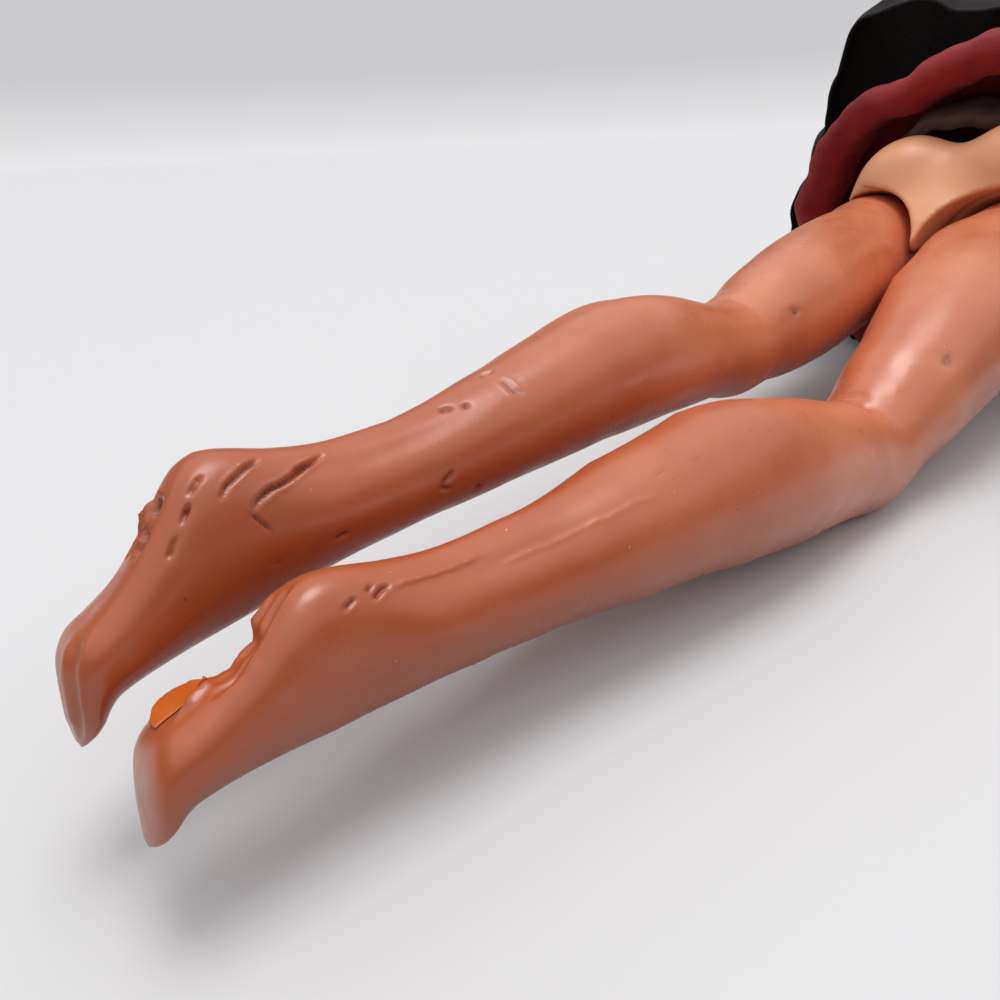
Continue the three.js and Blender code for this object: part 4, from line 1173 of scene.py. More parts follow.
    def build(self, wardrobe: Wardrobe) -> Object:
        """Makes the skin, lays it where the leg lies and dresses it.

        Args:
            wardrobe: the finishes.

        Returns:
            The leg's skin.
        """
        grid = self.standing()
        normal = grid_normals(grid)
        edge = smooth(0, 3, np.minimum(np.arange(len(grid)), np.arange(len(grid))[::-1]))[:, None]
        grid = self.pushed(grid + normal * (self.muscles(grid) * edge)[..., None])
        lift, groove_shade = self.worn(grid)
        skin = lattice_noise(grid, 9, 5) * 0.1 + lattice_noise(grid, 3.1, 8) * 0.03
        grid = grid + grid_normals(grid) * ((lift + skin) * edge)[..., None]
        laid = self.laid(grid)
        laid[..., 2] = np.maximum(laid[..., 2], 0.02)
        word = self.side.word
        # The colour turns browner from the knee down to the foot
        grime = 0.85 * smooth(-58, -136, grid[..., 2])
        leg = ring_mesh(f"leg_{word}", laid, {"wear": groove_shade, "grime": grime})
        leg.data.materials.append(wardrobe.leg)
        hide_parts(f"thigh_skin_{word}", f"knee_skin_{word}", f"shin_skin_{word}")
        hip = self.stance.hip(self.side)
        pivot = np.array(self.stance.knee_pivot) * (self.side.value, 1, 1)
        knee = transformed(pivot, hip)
        down = hip[:3, :3] @ np.array([0, 0, -1.0])
        reach = self.knee_half + 1
        above, below = (knee - reach * down) * MM, (knee + reach * down) * MM
        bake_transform(leg)
        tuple(above)
        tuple(below)
        if self.side is Side.RIGHT:
            self.torn_flap(grid, laid, wardrobe)
        return leg


# Shapes from fields

Field = Callable[[np.ndarray], np.ndarray]


def blend_in(a: np.ndarray, b: np.ndarray, soft: float) -> np.ndarray:
    """Joins two fields.

    Args:
        a: one field.
        b: the other.
        soft: the size of the fillet between them, in millimetres.

    Returns:
        The field of both.
    """
    h = np.clip(0.5 + 0.5 * (b - a) / soft, 0, 1)
    return b + (a - b) * h - soft * h * (1 - h)


def cut_out(a: np.ndarray, b: np.ndarray, soft: float) -> np.ndarray:
    """Field a without field b, with an edge rounded by about soft millimetres."""
    return -blend_in(-a, b, soft)


def ball(p: np.ndarray, centre: Sequence[float], radii: Sequence[float]) -> np.ndarray:
    """The field of an ellipsoid."""
    return (np.linalg.norm((p - np.array(centre)) / np.array(radii), axis=-1) - 1) * min(radii)


def rod(p: np.ndarray, a: Sequence[float], b: Sequence[float], ra: float, rb: float) -> np.ndarray:
    """The field of a round bar that tapers.

    Args:
        p: the points to read.
        a: the bar's start.
        b: its end.
        ra: its radius at the start.
        rb: its radius at the end.

    Returns:
        The field at each point.
    """
    a, b = np.array(a, float), np.array(b, float)
    t = np.clip(((p - a) @ (b - a)) / ((b - a) @ (b - a)), 0, 1)
    return np.linalg.norm(p - (a + t[..., None] * (b - a)), axis=-1) - (ra + t * (rb - ra))


@dataclass(frozen=True)
class Limb:
    """A form with an oval slice at each height: rows of height, half width, back and front."""

    rows: tuple[tuple[float, float, float, float], ...]

    def __call__(self, p: np.ndarray) -> np.ndarray:
        """The field at points p.

        Args:
            p: the points to read.

        Returns:
            The field at each of them.
        """
        rows = np.array(sorted(self.rows))
        z = np.clip(p[..., 2], rows[0, 0], rows[-1, 0])
        half, back, front = hermite(rows[:, 0], rows[:, 1:], z.ravel()).T.reshape(3, *z.shape)
        deep = np.maximum((front - back) / 2, 0.3)
        wide = np.maximum(half, 0.3)
        flat = np.hypot(p[..., 0] / wide, (p[..., 1] - (front + back) / 2) / deep)
        side = (flat - 1) * np.minimum(wide, deep)
        past = np.maximum(rows[0, 0] - p[..., 2], p[..., 2] - rows[-1, 0])
        return -blend_in(-side, -past, 0.8)


def surface_net(field_of: Field, low: Sequence[float], high: Sequence[float],
                cell: float) -> tuple[np.ndarray, np.ndarray]:
    """Draws the surface where a field is zero.

    Args:
        field_of: the field, below zero inside.
        low: lowest corner of the space that is searched, in millimetres.
        high: its highest corner.
        cell: distance between the samples.

    Returns:
        Points, and faces as four point numbers each.
    """
    axes = [np.arange(a, b + cell, cell) for a, b in zip(low, high)]
    value = np.concatenate([
        field_of(np.stack(np.meshgrid(axes[0][k : k + 24], axes[1], axes[2], indexing="ij"), -1))
        for k in range(0, len(axes[0]), 24)
    ])
    for axis in range(3):
        for face in (0, -1):
            border = np.moveaxis(value, axis, 0)[face]
            border[...] = np.maximum(border, 0.01)
    inside = value < 0
    size = np.array(value.shape)
    cells = tuple(size - 1)
    quads, corners, marks = [], [], []
    for axis in range(3):
        near = [slice(None)] * 3
        far = [slice(None)] * 3
        near[axis], far[axis] = slice(0, -1), slice(1, None)
        v0, v1 = value[tuple(near)], value[tuple(far)]
        crossed = inside[tuple(near)] != inside[tuple(far)]
        edge = np.argwhere(crossed)
        place = edge.astype(float)
        place[:, axis] += (v0[crossed] / (v0[crossed] - v1[crossed]))
        b, c = (axis + 1) % 3, (axis + 2) % 3
        four = []
        for db, dc in ((0, 0), (-1, 0), (-1, -1), (0, -1)):
            where = edge.copy()
            where[:, b] += db
            where[:, c] += dc
            four.append(np.ravel_multi_index(where.T, cells))
            corners.append(place)
            marks.append(four[-1])
        quad = np.stack(four, -1)
        turned = inside[tuple(near)][crossed]
        quad[~turned] = quad[~turned][:, ::-1]
        quads.append(quad)
    marks = np.concatenate(marks)
    corners = np.concatenate(corners)
    used, number = np.unique(marks, return_inverse=True)
    count = np.bincount(number)
    points = np.stack([np.bincount(number, corners[:, k]) / count for k in range(3)], -1)
    faces = np.searchsorted(used, np.concatenate(quads))
    return points * cell + np.array([a[0] for a in axes]), faces


def settled(points: np.ndarray, faces: np.ndarray, field_of: Field, cell: float) -> np.ndarray:
    """Evens out a net and pulls it onto the surface.

    Args:
        points: the net's points, in millimetres.
        faces: its faces, as four point numbers each.
        field_of: the field, zero on the surface.
        cell: the size of the net.

    Returns:
        The moved points.
    """
    pairs = np.concatenate([faces[:, [0, 1]], faces[:, [1, 2]], faces[:, [2, 3]], faces[:, [3, 0]]])
    count = np.bincount(pairs[:, 0], minlength=len(points))
    for _ in range(3):
        beside = points[pairs[:, 1]]
        middle = np.stack([np.bincount(pairs[:, 0], beside[:, k], len(points)) for k in range(3)], -1)
        points = 0.4 * points + 0.6 * middle / count[:, None]
        step = 0.3 * cell
        slope = np.stack([
            (field_of(points + step * e) - field_of(points - step * e)) / (2 * step) for e in np.eye(3)
        ], -1)
        size = (slope**2).sum(-1) + 1e-3
        move = np.clip(field_of(points) / size, -0.5 * cell, 0.5 * cell)
        points = points - move[:, None] * slope
    return points


def sculpted(name: str, field_of: Field, box: tuple[Sequence[float], Sequence[float]], cell: float,
             place: np.ndarray, mirror: bool = False) -> tuple[Object, np.ndarray]:
    """Makes an object from a field.

    Args:
        name: the object's name.
        field_of: the field in the part's own frame, in millimetres.
        box: the lowest and highest corner that the part can reach there.
        cell: size of the mesh.
        place: the matrix from the part's own frame to the row's.
        mirror: whether the part is turned into its left hand twin.

    Returns:
        The object, and its points in the part's own frame.
    """
    local, faces = surface_net(field_of, *box, cell)
    local = settled(local, faces, field_of, cell)
    if mirror:
        local = local * (-1, 1, 1)
    return closed_mesh(name, transformed(local, place), faces.tolist()), local


def reach(field_of: Field, start: np.ndarray, ways: np.ndarray, near: float, far: float,
          level_at: float | np.ndarray = 0.0) -> np.ndarray:
    """How far out a field comes up to a level.

    Args:
        field_of: the field.
        start: where each way starts.
        ways: the direction of each way, of length 1.
        near: the least distance that is searched.
        far: the greatest one.
        level_at: the level, or one for each way.

    Returns:
        The distance along each way, in millimetres.
    """
    low = np.full(ways.shape[:-1], near)
    high = np.full(ways.shape[:-1], far)
    for _ in range(16):
        middle = (low + high) / 2
        inside = field_of(start + ways * middle[..., None]) < level_at
        low = np.where(inside, middle, low)
        high = np.where(inside, high, middle)
    return (low + high) / 2


def dressed(thing: Object, material: Material, slot: str, body: str, *nodes: str) -> None:
    """Finishes a piece, hangs it on its body, hides the nodes that it stands for and logs it.

    Args:
        thing: the piece.
        material: its finish.
        slot: not used.
        body: the body that it rides on.
        nodes: the nodes that it stands for.
    """
    thing.data.materials.clear()
    thing.data.materials.append(material)
    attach(thing, body)
    if nodes:
        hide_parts(*nodes)
    LOG.info("%s on %s with %d faces", thing.name, body, len(thing.data.polygons))


# Body

# The top of the lower body, the foot of the upper body and the radius of a hip's ball, in millimetres
PELVIS_TOP, CHEST_FOOT, HIP_BALL = 34.85, 35.15, 10.6


@dataclass
class LowerBody:
    """The hard shells round the hips, with the hollows that the legs turn in."""

    stance: Stance
    form: Limb = Limb((
        (-13, 4, -6, 5), (-8, 12, -10, 8), (0, 18.6, -14, 9.6), (8, 20.2, -14.6, 10.4),
        (16, 18.8, -12.6, 11), (25, 16.2, -10.4, 10.9), (PELVIS_TOP, 14.4, -10, 10.2),
    ))
    clearance: float = 0.45

    def leg_field(self, p: np.ndarray, side_of: Side) -> np.ndarray:
        """The field of a thigh, with the bulge that the right one has on its inner back.

        Args:
            p: points in the standing leg's frame.
            side_of: the doll's side.

        Returns:
            The field at each point.
        """
        top = LEG_SECTIONS[5:9]
        ring = np.array([(s.front[1], s.half, s.back[0], s.front[0], s.shift) for s in top])[::-1]
        z = np.clip(p[..., 2], ring[0, 0], 0)
        half, back, front, shift = hermite(ring[:, 0], ring[:, 1:], z.ravel()).T.reshape(4, *z.shape)
        wide, deep = half, (front - back) / 2
        flat = np.hypot((p[..., 0] - shift) / wide, (p[..., 1] - (front + back) / 2) / deep)
        side = (flat - 1) * np.minimum(wide, deep)
        if side_of is Side.RIGHT:
            slant = (0.65 * p[..., 0] + 0.76 * p[..., 1]) ** 2 / (p[..., 0] ** 2 + p[..., 1] ** 2 + 1)
            side = side - 1.9 * smooth(2, -9, p[..., 2]) * slant
        return np.where(p[..., 2] > 0, np.linalg.norm(p, axis=-1) - HIP_BALL, side)

    def swept(self, p: np.ndarray, side: Side) -> np.ndarray:
        """The room that one thigh needs through its whole swing.

        Args:
            p: the points to read.
            side: the thigh's side.

        Returns:
            The field at each of them.
        """
        joint = next(j for j in frame["joints"] if j["name"] == f"hip_{side.word}")
        low, high = joint["range_deg"]
        pivot = self.stance.pivots[f"hip_{side.word}"]
        row = transformed(p, self.stance.body) - pivot
        back = np.linalg.inv(self.stance.hip(side))
        total = np.full(p.shape[:-1], 50.0)
        for turn in np.linspace(low, high, 11):
            spun = row @ turn_about((1, 0, 0), turn)[:3, :3] + pivot
            standing = transformed(spun, back) * (side.value, 1, 1)
            total = np.minimum(total, self.leg_field(standing, side))
        return total

    def field_of(self, p: np.ndarray) -> np.ndarray:
        """The field of the lower body.

        Args:
            p: the points to read.

        Returns:
            The field at each of them.
        """
        left = ball(p, (-8.3, -9.4, 6.5), (9.8, 10.1, 9.2))
        right = ball(p, (8.3, -9.6, 6.5), (9.8, 11.9, 9.2))
        f = blend_in(self.form(p), blend_in(left, right, 6.0), 3.0)
        for side in (-1, 1):
            thigh = np.hypot(p[..., 0] - self.stance.hip_half_spacing * side, p[..., 1]) - 12.6
            f = cut_out(f, np.maximum(thigh, p[..., 2] - 0.8), 1.2)
        f = np.maximum(f, p[..., 2] - PELVIS_TOP)
        f += 0.16 * np.exp(-((p[..., 1] / 0.28) ** 2))
        close = np.abs(f) < 14
        if close.any():
            near = p[close]
            for side in Side:
                f[close] = cut_out(f[close], self.swept(near, side) - self.clearance, 0.5)
        return f

    def build(self, wardrobe: Wardrobe) -> None:
        """Makes the lower body.

        Args:
            wardrobe: the finishes.
        """
        thing, local = sculpted("lower_body", self.field_of, ((-21.5, -23, -14), (21.5, 12.5, 35.6)), 0.5,
                                self.stance.body)
        store(thing, "wear", 0.75 * np.exp(-((local[:, 1] / 0.3) ** 2)))
        shells = ("pelvis_front_shell", "pelvis_back_shell")
        dressed(thing, wardrobe.skin, "body_plastic", "pelvis", *shells)


CHEST_ROWS = (
    (CHEST_FOOT, 14.4, -10, 10.2), (42, 14.6, -9.4, 10.4), (52, 16.2, -10.2, 11.6), (64, 17.9, -10.9, 12.4),
    (74, 19, -11, 12), (84, 20.8, -9.4, 9.4), (89.4, 16, -7.6, 7.4), (92.6, 9.2, -6.2, 6),
    (94.4, 5.6, -5.6, 5.4),
)


@dataclass
class UpperBody:
    """The chest shells and the neck."""

    stance: Stance
    form: Limb = Limb(CHEST_ROWS)
    shoulder_face: float = 20.3
    neck_radius: float = 4.8
    neck_top: float = 104.0

    def skin_field(self, p: np.ndarray) -> np.ndarray:
        """The chest without its seam: the bodice is fitted to this.

        Args:
            p: the points to read.

        Returns:
            The field at each of them.
        """
        f = self.form(p)
        for side in (-1, 1):
            f = blend_in(f, ball(p, (8.2 * side, 10.2, 67), (8.2, 9.4, 8.2)), 1.4)
            f = blend_in(f, ball(p, (9.5 * side, -8.6, 74), (6.2, 3.2, 8.5)), 2.5)
            f = blend_in(f, rod(p, (3.5 * side, 6.6, 90.2), (17 * side, 5.2, 87), 0.9, 1.1), 1.6)
        return cut_out(f, rod(p, (0, -12.6, 40), (0, -13.4, 82), 1.5, 1.3), 2.0)

    def field_of(self, p: np.ndarray) -> np.ndarray:
        """The field of the chest.

        Args:
            p: the points to read.

        Returns:
            The field at each of them.
        """
        f = self.skin_field(p)
        f = cut_out(f, self.shoulder_face - np.abs(p[..., 0]), 0.8)
        f = cut_out(f, p[..., 2] - CHEST_FOOT, 0.3)
        return f + 0.14 * np.exp(-((p[..., 1] / 0.28) ** 2))

    def neck_field(self, p: np.ndarray) -> np.ndarray:
        """The field of the neck, which widens into a collar.

        Args:
            p: the points to read.

        Returns:
            The field at each of them.
        """
        base = 94.9
        low, high = (0, 0, base + 1), (0, 0, self.neck_top + 5)
        f = rod(p, low, high, self.neck_radius + 0.25, self.neck_radius - 0.25)
        f = blend_in(f, ball(p, (0, 0.2, base + 0.6), (5.5, 5.5, 1.6)), 1.2)
        for side in (-1, 1):
            f = blend_in(f, rod(p, (2.2 * side, 4.2, base), (4.0 * side, 1.5, self.neck_top), 0.7, 0.6), 1.4)
        return np.maximum(f, base - p[..., 2])

    def build(self, wardrobe: Wardrobe) -> None:
        """Makes the chest and the neck.

        Args:
            wardrobe: the finishes.
        """
        chest, local = sculpted("upper_body", self.field_of, ((-21.5, -13.5, 34.6), (21.5, 21, 96)), 0.55,
                                self.stance.body)
        store(chest, "wear", 0.75 * np.exp(-((local[:, 1] / 0.3) ** 2)))
        dressed(chest, wardrobe.skin, "body_plastic", "chest", "chest_front_shell", "chest_back_shell")
        box = ((-6.6, -6.6, 94.2), (6.6, 6.8, 115))
        neck, _ = sculpted("neck", self.neck_field, box, 0.4, self.stance.body)
        dressed(neck, wardrobe.skin, "body_plastic", "chest", "neck_post")


ARM_ROWS = (
    (0, 5.2, -5.2, 5.2), (-8, 4.9, -5, 5), (-14, 4.6, -4.7, 4.7), (-22, 4.1, -4.2, 4.2),
    (-30, 3.7, -3.8, 3.8), (-38, 3.5, -3.6, 3.5), (-46, 3.6, -3.6, 3.6), (-53, 3.4, -3.4, 3.6),
    (-60, 3.1, -3.1, 3.2), (-68, 2.6, -2.6, 2.7), (-74, 2.2, -2.3, 2.3), (-78, 2.0, -2.5, 2.3),
    (-79.5, 1.8, -2.5, 2.3),
)


@dataclass
class Arm:
    """One straight moulded arm with its hand."""

    side: Side
    stance: Stance
    form: Limb = Limb(ARM_ROWS)
    splay: float = 20.0
    drop: float = 37.2
    face: float = -4.32

    def field_of(self, p: np.ndarray) -> np.ndarray:
        """The field of a right arm that hangs down, before its splay.

        Args:
            p: the points to read.

        Returns:
            The field at each of them.
        """
        f = self.form(p)
        f = blend_in(f, ball(p, (0, 0, 0), (5.4, 5.4, 5.4)), 1.5)
        f = blend_in(f, ball(p, (0.2, -2.6, -40.5), (1.9, 1.9, 3.2)), 1.8)
        f = blend_in(f, ball(p, (0.8, 1.2, -20), (3.6, 3.6, 7)), 2)
        f = blend_in(f, ball(p, (1.6, 0.2, -50), (2.3, 2.9, 6)), 2)
        palm = ball(p, (0.1, -0.3, -83.4), (1.45, 3.7, 5.2))
        f = blend_in(f, palm, 1.6)
        for k, end in enumerate((-93.2, -95.3, -95.9, -94.4)):
            y = -3.0 + 1.75 * k
            knuckle = (0.1, 0.92 * y, -86.2)
            middle = (0.45, y * 1.08, -86.2 + (end + 86.2) * 0.5)
            tip = (-0.2, y * 1.1 - 0.1, end + 0.6)
            finger = blend_in(rod(p, knuckle, middle, 0.86, 0.8), rod(p, middle, tip, 0.8, 0.62), 0.25)
            f = blend_in(f, finger, 0.4)
            f = blend_in(f, ball(p, (0.72, y, -86.6), (0.5, 0.7, 0.8)), 0.5)
        thumb = blend_in(rod(p, (-0.2, 1.8, -80), (-0.5, 4.4, -83.4), 1.2, 1.0),
                         rod(p, (-0.5, 4.4, -83.4), (-0.4, 5.6, -87.4), 1.0, 0.72), 0.4)
        return blend_in(f, thumb, 0.9)

    def build(self, wardrobe: Wardrobe) -> None:
        """Makes the arm.

        Args:
            wardrobe: the finishes.
        """
        swing = turn_about((1, 0, 0), 180 - self.drop)
        pivot = self.stance.pivots[f"shoulder_{self.side.word}"]
        flat = move_to(pivot) @ self.stance.body_turn() @ swing
        splay = turn_about((0, 1, 0), -self.splay)
        lean = np.linalg.inv(splay)

        def cut_field(p: np.ndarray) -> np.ndarray:
            """The splayed arm with a flat face on its shoulder."""
            return cut_out(self.field_of(transformed(p, lean)), p[..., 0] - self.face, 0.7)

        name = f"arm_{self.side.word}_skin"
        box = ((-6, -8, -93), (42, 8, 8))
        thing, local = sculpted(name, cut_field, box, 0.42, flat, self.side is Side.LEFT)
        inward = local * (self.side.value, 1, 1)
        along = transformed(inward, lean)
        seam = np.exp(-((along[:, 0] / 0.22) ** 2)) * (along[:, 2] > -90)
        store(thing, "wear", 0.25 * seam)
        dressed(thing, wardrobe.arm, "body_plastic", f"arm_{self.side.word}", f"arm_{self.side.word}")


# Head and hair

HEAD_ROWS = (
    (-2.6, 4.2, -4, 9.4), (-1, 6.6, -5.6, 11.4), (3, 8.9, -8, 12), (8, 10.8, -12, 12.2),
    (15, 12.2, -14.2, 12.2), (22, 12.6, -14.8, 12.3), (28, 11, -13.2, 11), (32, 7.8, -9.8, 7.8),
    (34, 2.6, -4, 2.6),
)


@dataclass
class Head:
    """The hollow vinyl head with a plain painted face of the maker's own."""

    stance: Stance
    form: Limb = Limb(HEAD_ROWS)

    def skull(self, p: np.ndarray, soft: float = 2) -> np.ndarray:
        """The field of the head without its features: a face form with a round crown."""
        return blend_in(self.form(p), ball(p, (0, -1.2, 20), (12.5, 13.6, 14.4)), soft)

    def field_of(self, p: np.ndarray) -> np.ndarray:
        """The field of the head.

        Args:
            p: the points to read.

        Returns:
            The field at each of them.
        """
        f = self.skull(p)
        f = blend_in(f, ball(p, (0, 9.2, 2.0), (3.3, 3.2, 2.6)), 2.4)
        for side in (-1, 1):
            f = blend_in(f, ball(p, (5.0 * side, 8.2, 9.0), (3.5, 3.6, 3.8)), 2.4)
            f = cut_out(f, ball(p, (4.7 * side, 14.4, 14.4), (2.9, 2.3, 2.0)), 1.6)
            f = blend_in(f, ball(p, (4.5 * side, 9.9, 14.1), (2.5, 2.3, 1.7)), 0.5)
            f = blend_in(f, rod(p, (2.2 * side, 12.0, 17.0), (7.2 * side, 10.0, 17.2), 0.7, 0.6), 1.8)
            f = blend_in(f, ball(p, (12.1 * side, -0.8, 12.4), (1.1, 2.3, 3.4)), 0.8)
        f = blend_in(f, rod(p, (0, 11.9, 15.4), (0, 13.6, 10.6), 0.75, 1.0), 1.2)
        for side in (-1, 1):
            f = blend_in(f, ball(p, (1.1 * side, 12.9, 10.2), (0.8, 0.9, 0.7)), 0.6)
        f = blend_in(f, ball(p, (0, 11.9, 7.4), (2.5, 1.5, 0.75)), 0.6)
        f = blend_in(f, ball(p, (0, 11.7, 5.9), (2.1, 1.5, 0.85)), 0.6)
        f = cut_out(f, rod(p, (-2.2, 13.3, 6.7), (2.2, 13.3, 6.7), 0.22, 0.22), 0.3)
        socket = rod(p, (0, 0, -8), (0, 0, 3), 5.2, 5.2)
        return cut_out(f, socket, 0.5)

    def place(self) -> np.ndarray:
        """The matrix from the head's frame to the row's."""
        return move_to(self.stance.pivots["neck_swivel"]) @ self.stance.body_turn()

    def build(self, wardrobe: Wardrobe) -> None:
        """Makes the head.

        Args:
            wardrobe: the finishes.
        """
        box = ((-14.2, -16.4, -4), (14.2, 15.6, 35.6))
        thing, local = sculpted("head_skin", self.field_of, box, 0.42, self.place())
        layer = thing.data.uv_layers.new(name="face")
        loops = np.zeros(len(thing.data.loops), np.int32)
        thing.data.loops.foreach_get("vertex_index", loops)
        layer.data.foreach_set("uv", (local[loops][:, [0, 2]] * MM).astype(np.float32).ravel())
        store(thing, "front", smooth(4.0, 7.0, local[:, 1]))
        dressed(thing, wardrobe.face, "head_vinyl", "head", "head_shell")


@dataclass
class Hair:
    """A rooted bob: a moulded cap under locks that fall from a middle parting."""

    head: Head
    locks: int = 150
    steps: int = 22
    seed: int = 11
    cap_outside: float = 1.3
    cap_inside: float = 0.25

    def cap_field(self, p: np.ndarray) -> np.ndarray:
        """The field of the cap under the locks.

        Args:
            p: the points to read.

        Returns:
            The field at each of them.
        """
        skull = self.head.skull(p)
        f = cut_out(skull - self.cap_outside, skull - self.cap_inside, 0.3)
        f = cut_out(f, ball(p, (0, 17, 8.6), (10.8, 17.5, 15.8)), 0.8)
        return cut_out(f, np.maximum(p[..., 2] - 3.5, -40 - p[..., 2]), 0.6)

    def shell_field(self, p: np.ndarray) -> np.ndarray:
        """The head as a smooth egg, which the locks lie on."""
        return self.head.skull(p, 3)

    def paths(self) -> list[tuple[np.ndarray, float]]:
        """The locks' middle lines and half widths, in the head's frame.

        Returns:
            One line and one width for each lock.
        """
        random = np.random.default_rng(self.seed)
        centre = np.array([0, -1.2, 17.0])
        lines = []
        for layer in range(2):
            for k in range(self.locks):
                side = 1 if k % 2 else -1
                share = (k // 2 + random.uniform(0, 0.8)) / (self.locks / 2)
                part = np.radians(22 + 92 * share)
                start = np.array([side * random.uniform(0.01, 0.1), np.cos(part), np.sin(part)])
                azimuth = np.radians(34 - 124 * share**0.9 + random.uniform(-3, 3))
                drop = random.uniform(-0.72, -0.6) if share > 0.15 else random.uniform(-0.6, -0.45)
                flat = math.sqrt(1 - drop * drop)
                end = np.array([side * math.cos(azimuth) * flat, math.sin(azimuth) * flat, drop])
                t = np.linspace(0, 1, self.steps)
                fringe, nape = np.array([side * 0.55, 0.12, 0.35]), np.array([side * 0.2, -0.25, 0.3])
                bow = fringe * (1 - share) + nape * share
                way = (1 - t)[:, None] * start + t[:, None] * end + (np.sin(np.pi * t) * 0.8)[:, None] * bow
                way /= np.linalg.norm(way, axis=1, keepdims=True)
                lift = 1.55 + 0.55 * layer + random.uniform(-0.2, 0.25)
                far = reach(self.shell_field, centre, way, 4, 34, lift * smooth(-0.12, 0.2, t) + 0.2)
                line = centre + way * far[:, None]
                sway = 0.35 * lattice_noise(line + 31 * k, 7, self.seed)
                line[:, 0] += sway * t
                lines.append((line, random.uniform(0.75, 1.15)))
        return lines

    def lock_tree(self, material: Material) -> NodeTree:
        """Geometry nodes that turn middle lines into tapered locks.

        Args:
            material: the pieces' finish.

        Returns:
            The tree.
        """
        sizes = {"Fullness": "NodeSocketFloat", "Sides": "NodeSocketInt"}
        tree, enter = new_tree("locks_along_lines", sizes)
        curve = add(tree, "GeometryNodeMeshToCurve", {"Mesh": enter["Geometry"]})
        half = add(tree, "GeometryNodeInputNamedAttribute", {"Name": "half"}, data_type="FLOAT")
        radius = add(tree, MATH, {0: half, 1: enter["Fullness"]}, operation="MULTIPLY")
        ring = add(tree, "GeometryNodeCurvePrimitiveCircle", {"Resolution": enter["Sides"], "Radius": 1.0})
        end_tree(tree, add(tree, "GeometryNodeCurveToMesh", {
            "Curve": curve, "Profile Curve": ring, "Scale": radius, "Fill Caps": True,
        }), material)
        return tree

    def build(self, wardrobe: Wardrobe) -> None:
        """Makes the cap and the locks.

        Args:
            wardrobe: the finishes.
        """
        place = self.head.place()
        cap, _ = sculpted("hair_cap", self.cap_field, ((-16, -18.5, 1), (16, 15.5, 38.5)), 0.6, place)
        dressed(cap, wardrobe.hair, "hair_fibre", "head", "hair")
        lines, edges, half = [], [], []
        for line, wide in self.paths():
            first = self.steps * len(lines)
            lines.append(transformed(line, place))
            edges.extend((first + i, first + i + 1) for i in range(self.steps - 1))
            t = np.linspace(0, 1, self.steps)
            half.extend(wide * (0.25 + 0.75 * np.sin(np.pi * np.clip(t * 0.93 + 0.03, 0, 1)) ** 0.5) * MM)
        locks = wire("hair_locks", np.concatenate(lines), edges)
        store(locks, "half", np.array(half))
        grow(locks, self.lock_tree(wardrobe.hair), {"Fullness": 1.0, "Sides": 7})
        dressed(locks, wardrobe.hair, "hair_fibre", "head")


# Lines and geometry nodes


def wire(name: str, points: np.ndarray, edges: list[tuple[int, int]]) -> Object:
    """An object of bare edges between points given in millimetres.

    Args:
        name: the object's name.
        points: its points, in millimetres.
        edges: the point numbers of each edge.

    Returns:
        The new object.
    """
    mesh = bpy.data.meshes.new(name)
    mesh.from_pydata([tuple(p) for p in points * MM], edges, [])
    return in_scene(name, mesh)


def new_tree(name: str, sizes: dict[str, str]) -> tuple[NodeTree, bpy.types.bpy_prop_collection]:
    """Starts a geometry nodes tree.

    Args:
        name: the tree's name.
        sizes: the socket type of each of its named sizes.

    Returns:
        The tree, and the sockets of its inputs by name.
    """
    tree = bpy.data.node_groups.new(name, "GeometryNodeTree")
    for key, kind in {"Geometry": "NodeSocketGeometry", **sizes}.items():
        tree.interface.new_socket(key, in_out="INPUT", socket_type=kind)
    tree.interface.new_socket("Geometry", in_out="OUTPUT", socket_type="NodeSocketGeometry")
    return tree, add(tree, "NodeGroupInput").node.outputs


def end_tree(tree: NodeTree, mesh: NodeSocket, material: Material) -> None:
    """Ends a geometry nodes tree in one smooth mesh.

    Args:
        tree: the tree.
        mesh: the socket of what it has made.
        material: the finish of it.
    """
    mesh = add(tree, "GeometryNodeRealizeInstances", {"Geometry": mesh})
    mesh = add(tree, "GeometryNodeSetShadeSmooth", {"Geometry": mesh})
    mesh = add(tree, "GeometryNodeSetMaterial", {"Geometry": mesh, "Material": material})
    add(tree, "NodeGroupOutput", {"Geometry": mesh})


def grow(thing: Object, tree: NodeTree, inputs: dict[str, float]) -> None:
    """Runs a geometry nodes tree on an object and leaves a plain mesh in its place.

    Args:
        thing: the object that the tree starts from.
        tree: the geometry nodes.
        inputs: a value for each of the tree's named inputs.
    """
    modifier = thing.modifiers.new(tree.name, "NODES")
    modifier.node_group = tree
    sockets = {item.name: item.identifier for item in tree.interface.items_tree if item.in_out == "INPUT"}
    for name, value in inputs.items():
        modifier[sockets[name]] = value
    mesh = bpy.data.meshes.new_from_object(thing.evaluated_get(bpy.context.evaluated_depsgraph_get()))
    thing.modifiers.clear()
    thing.data = mesh


# Dress


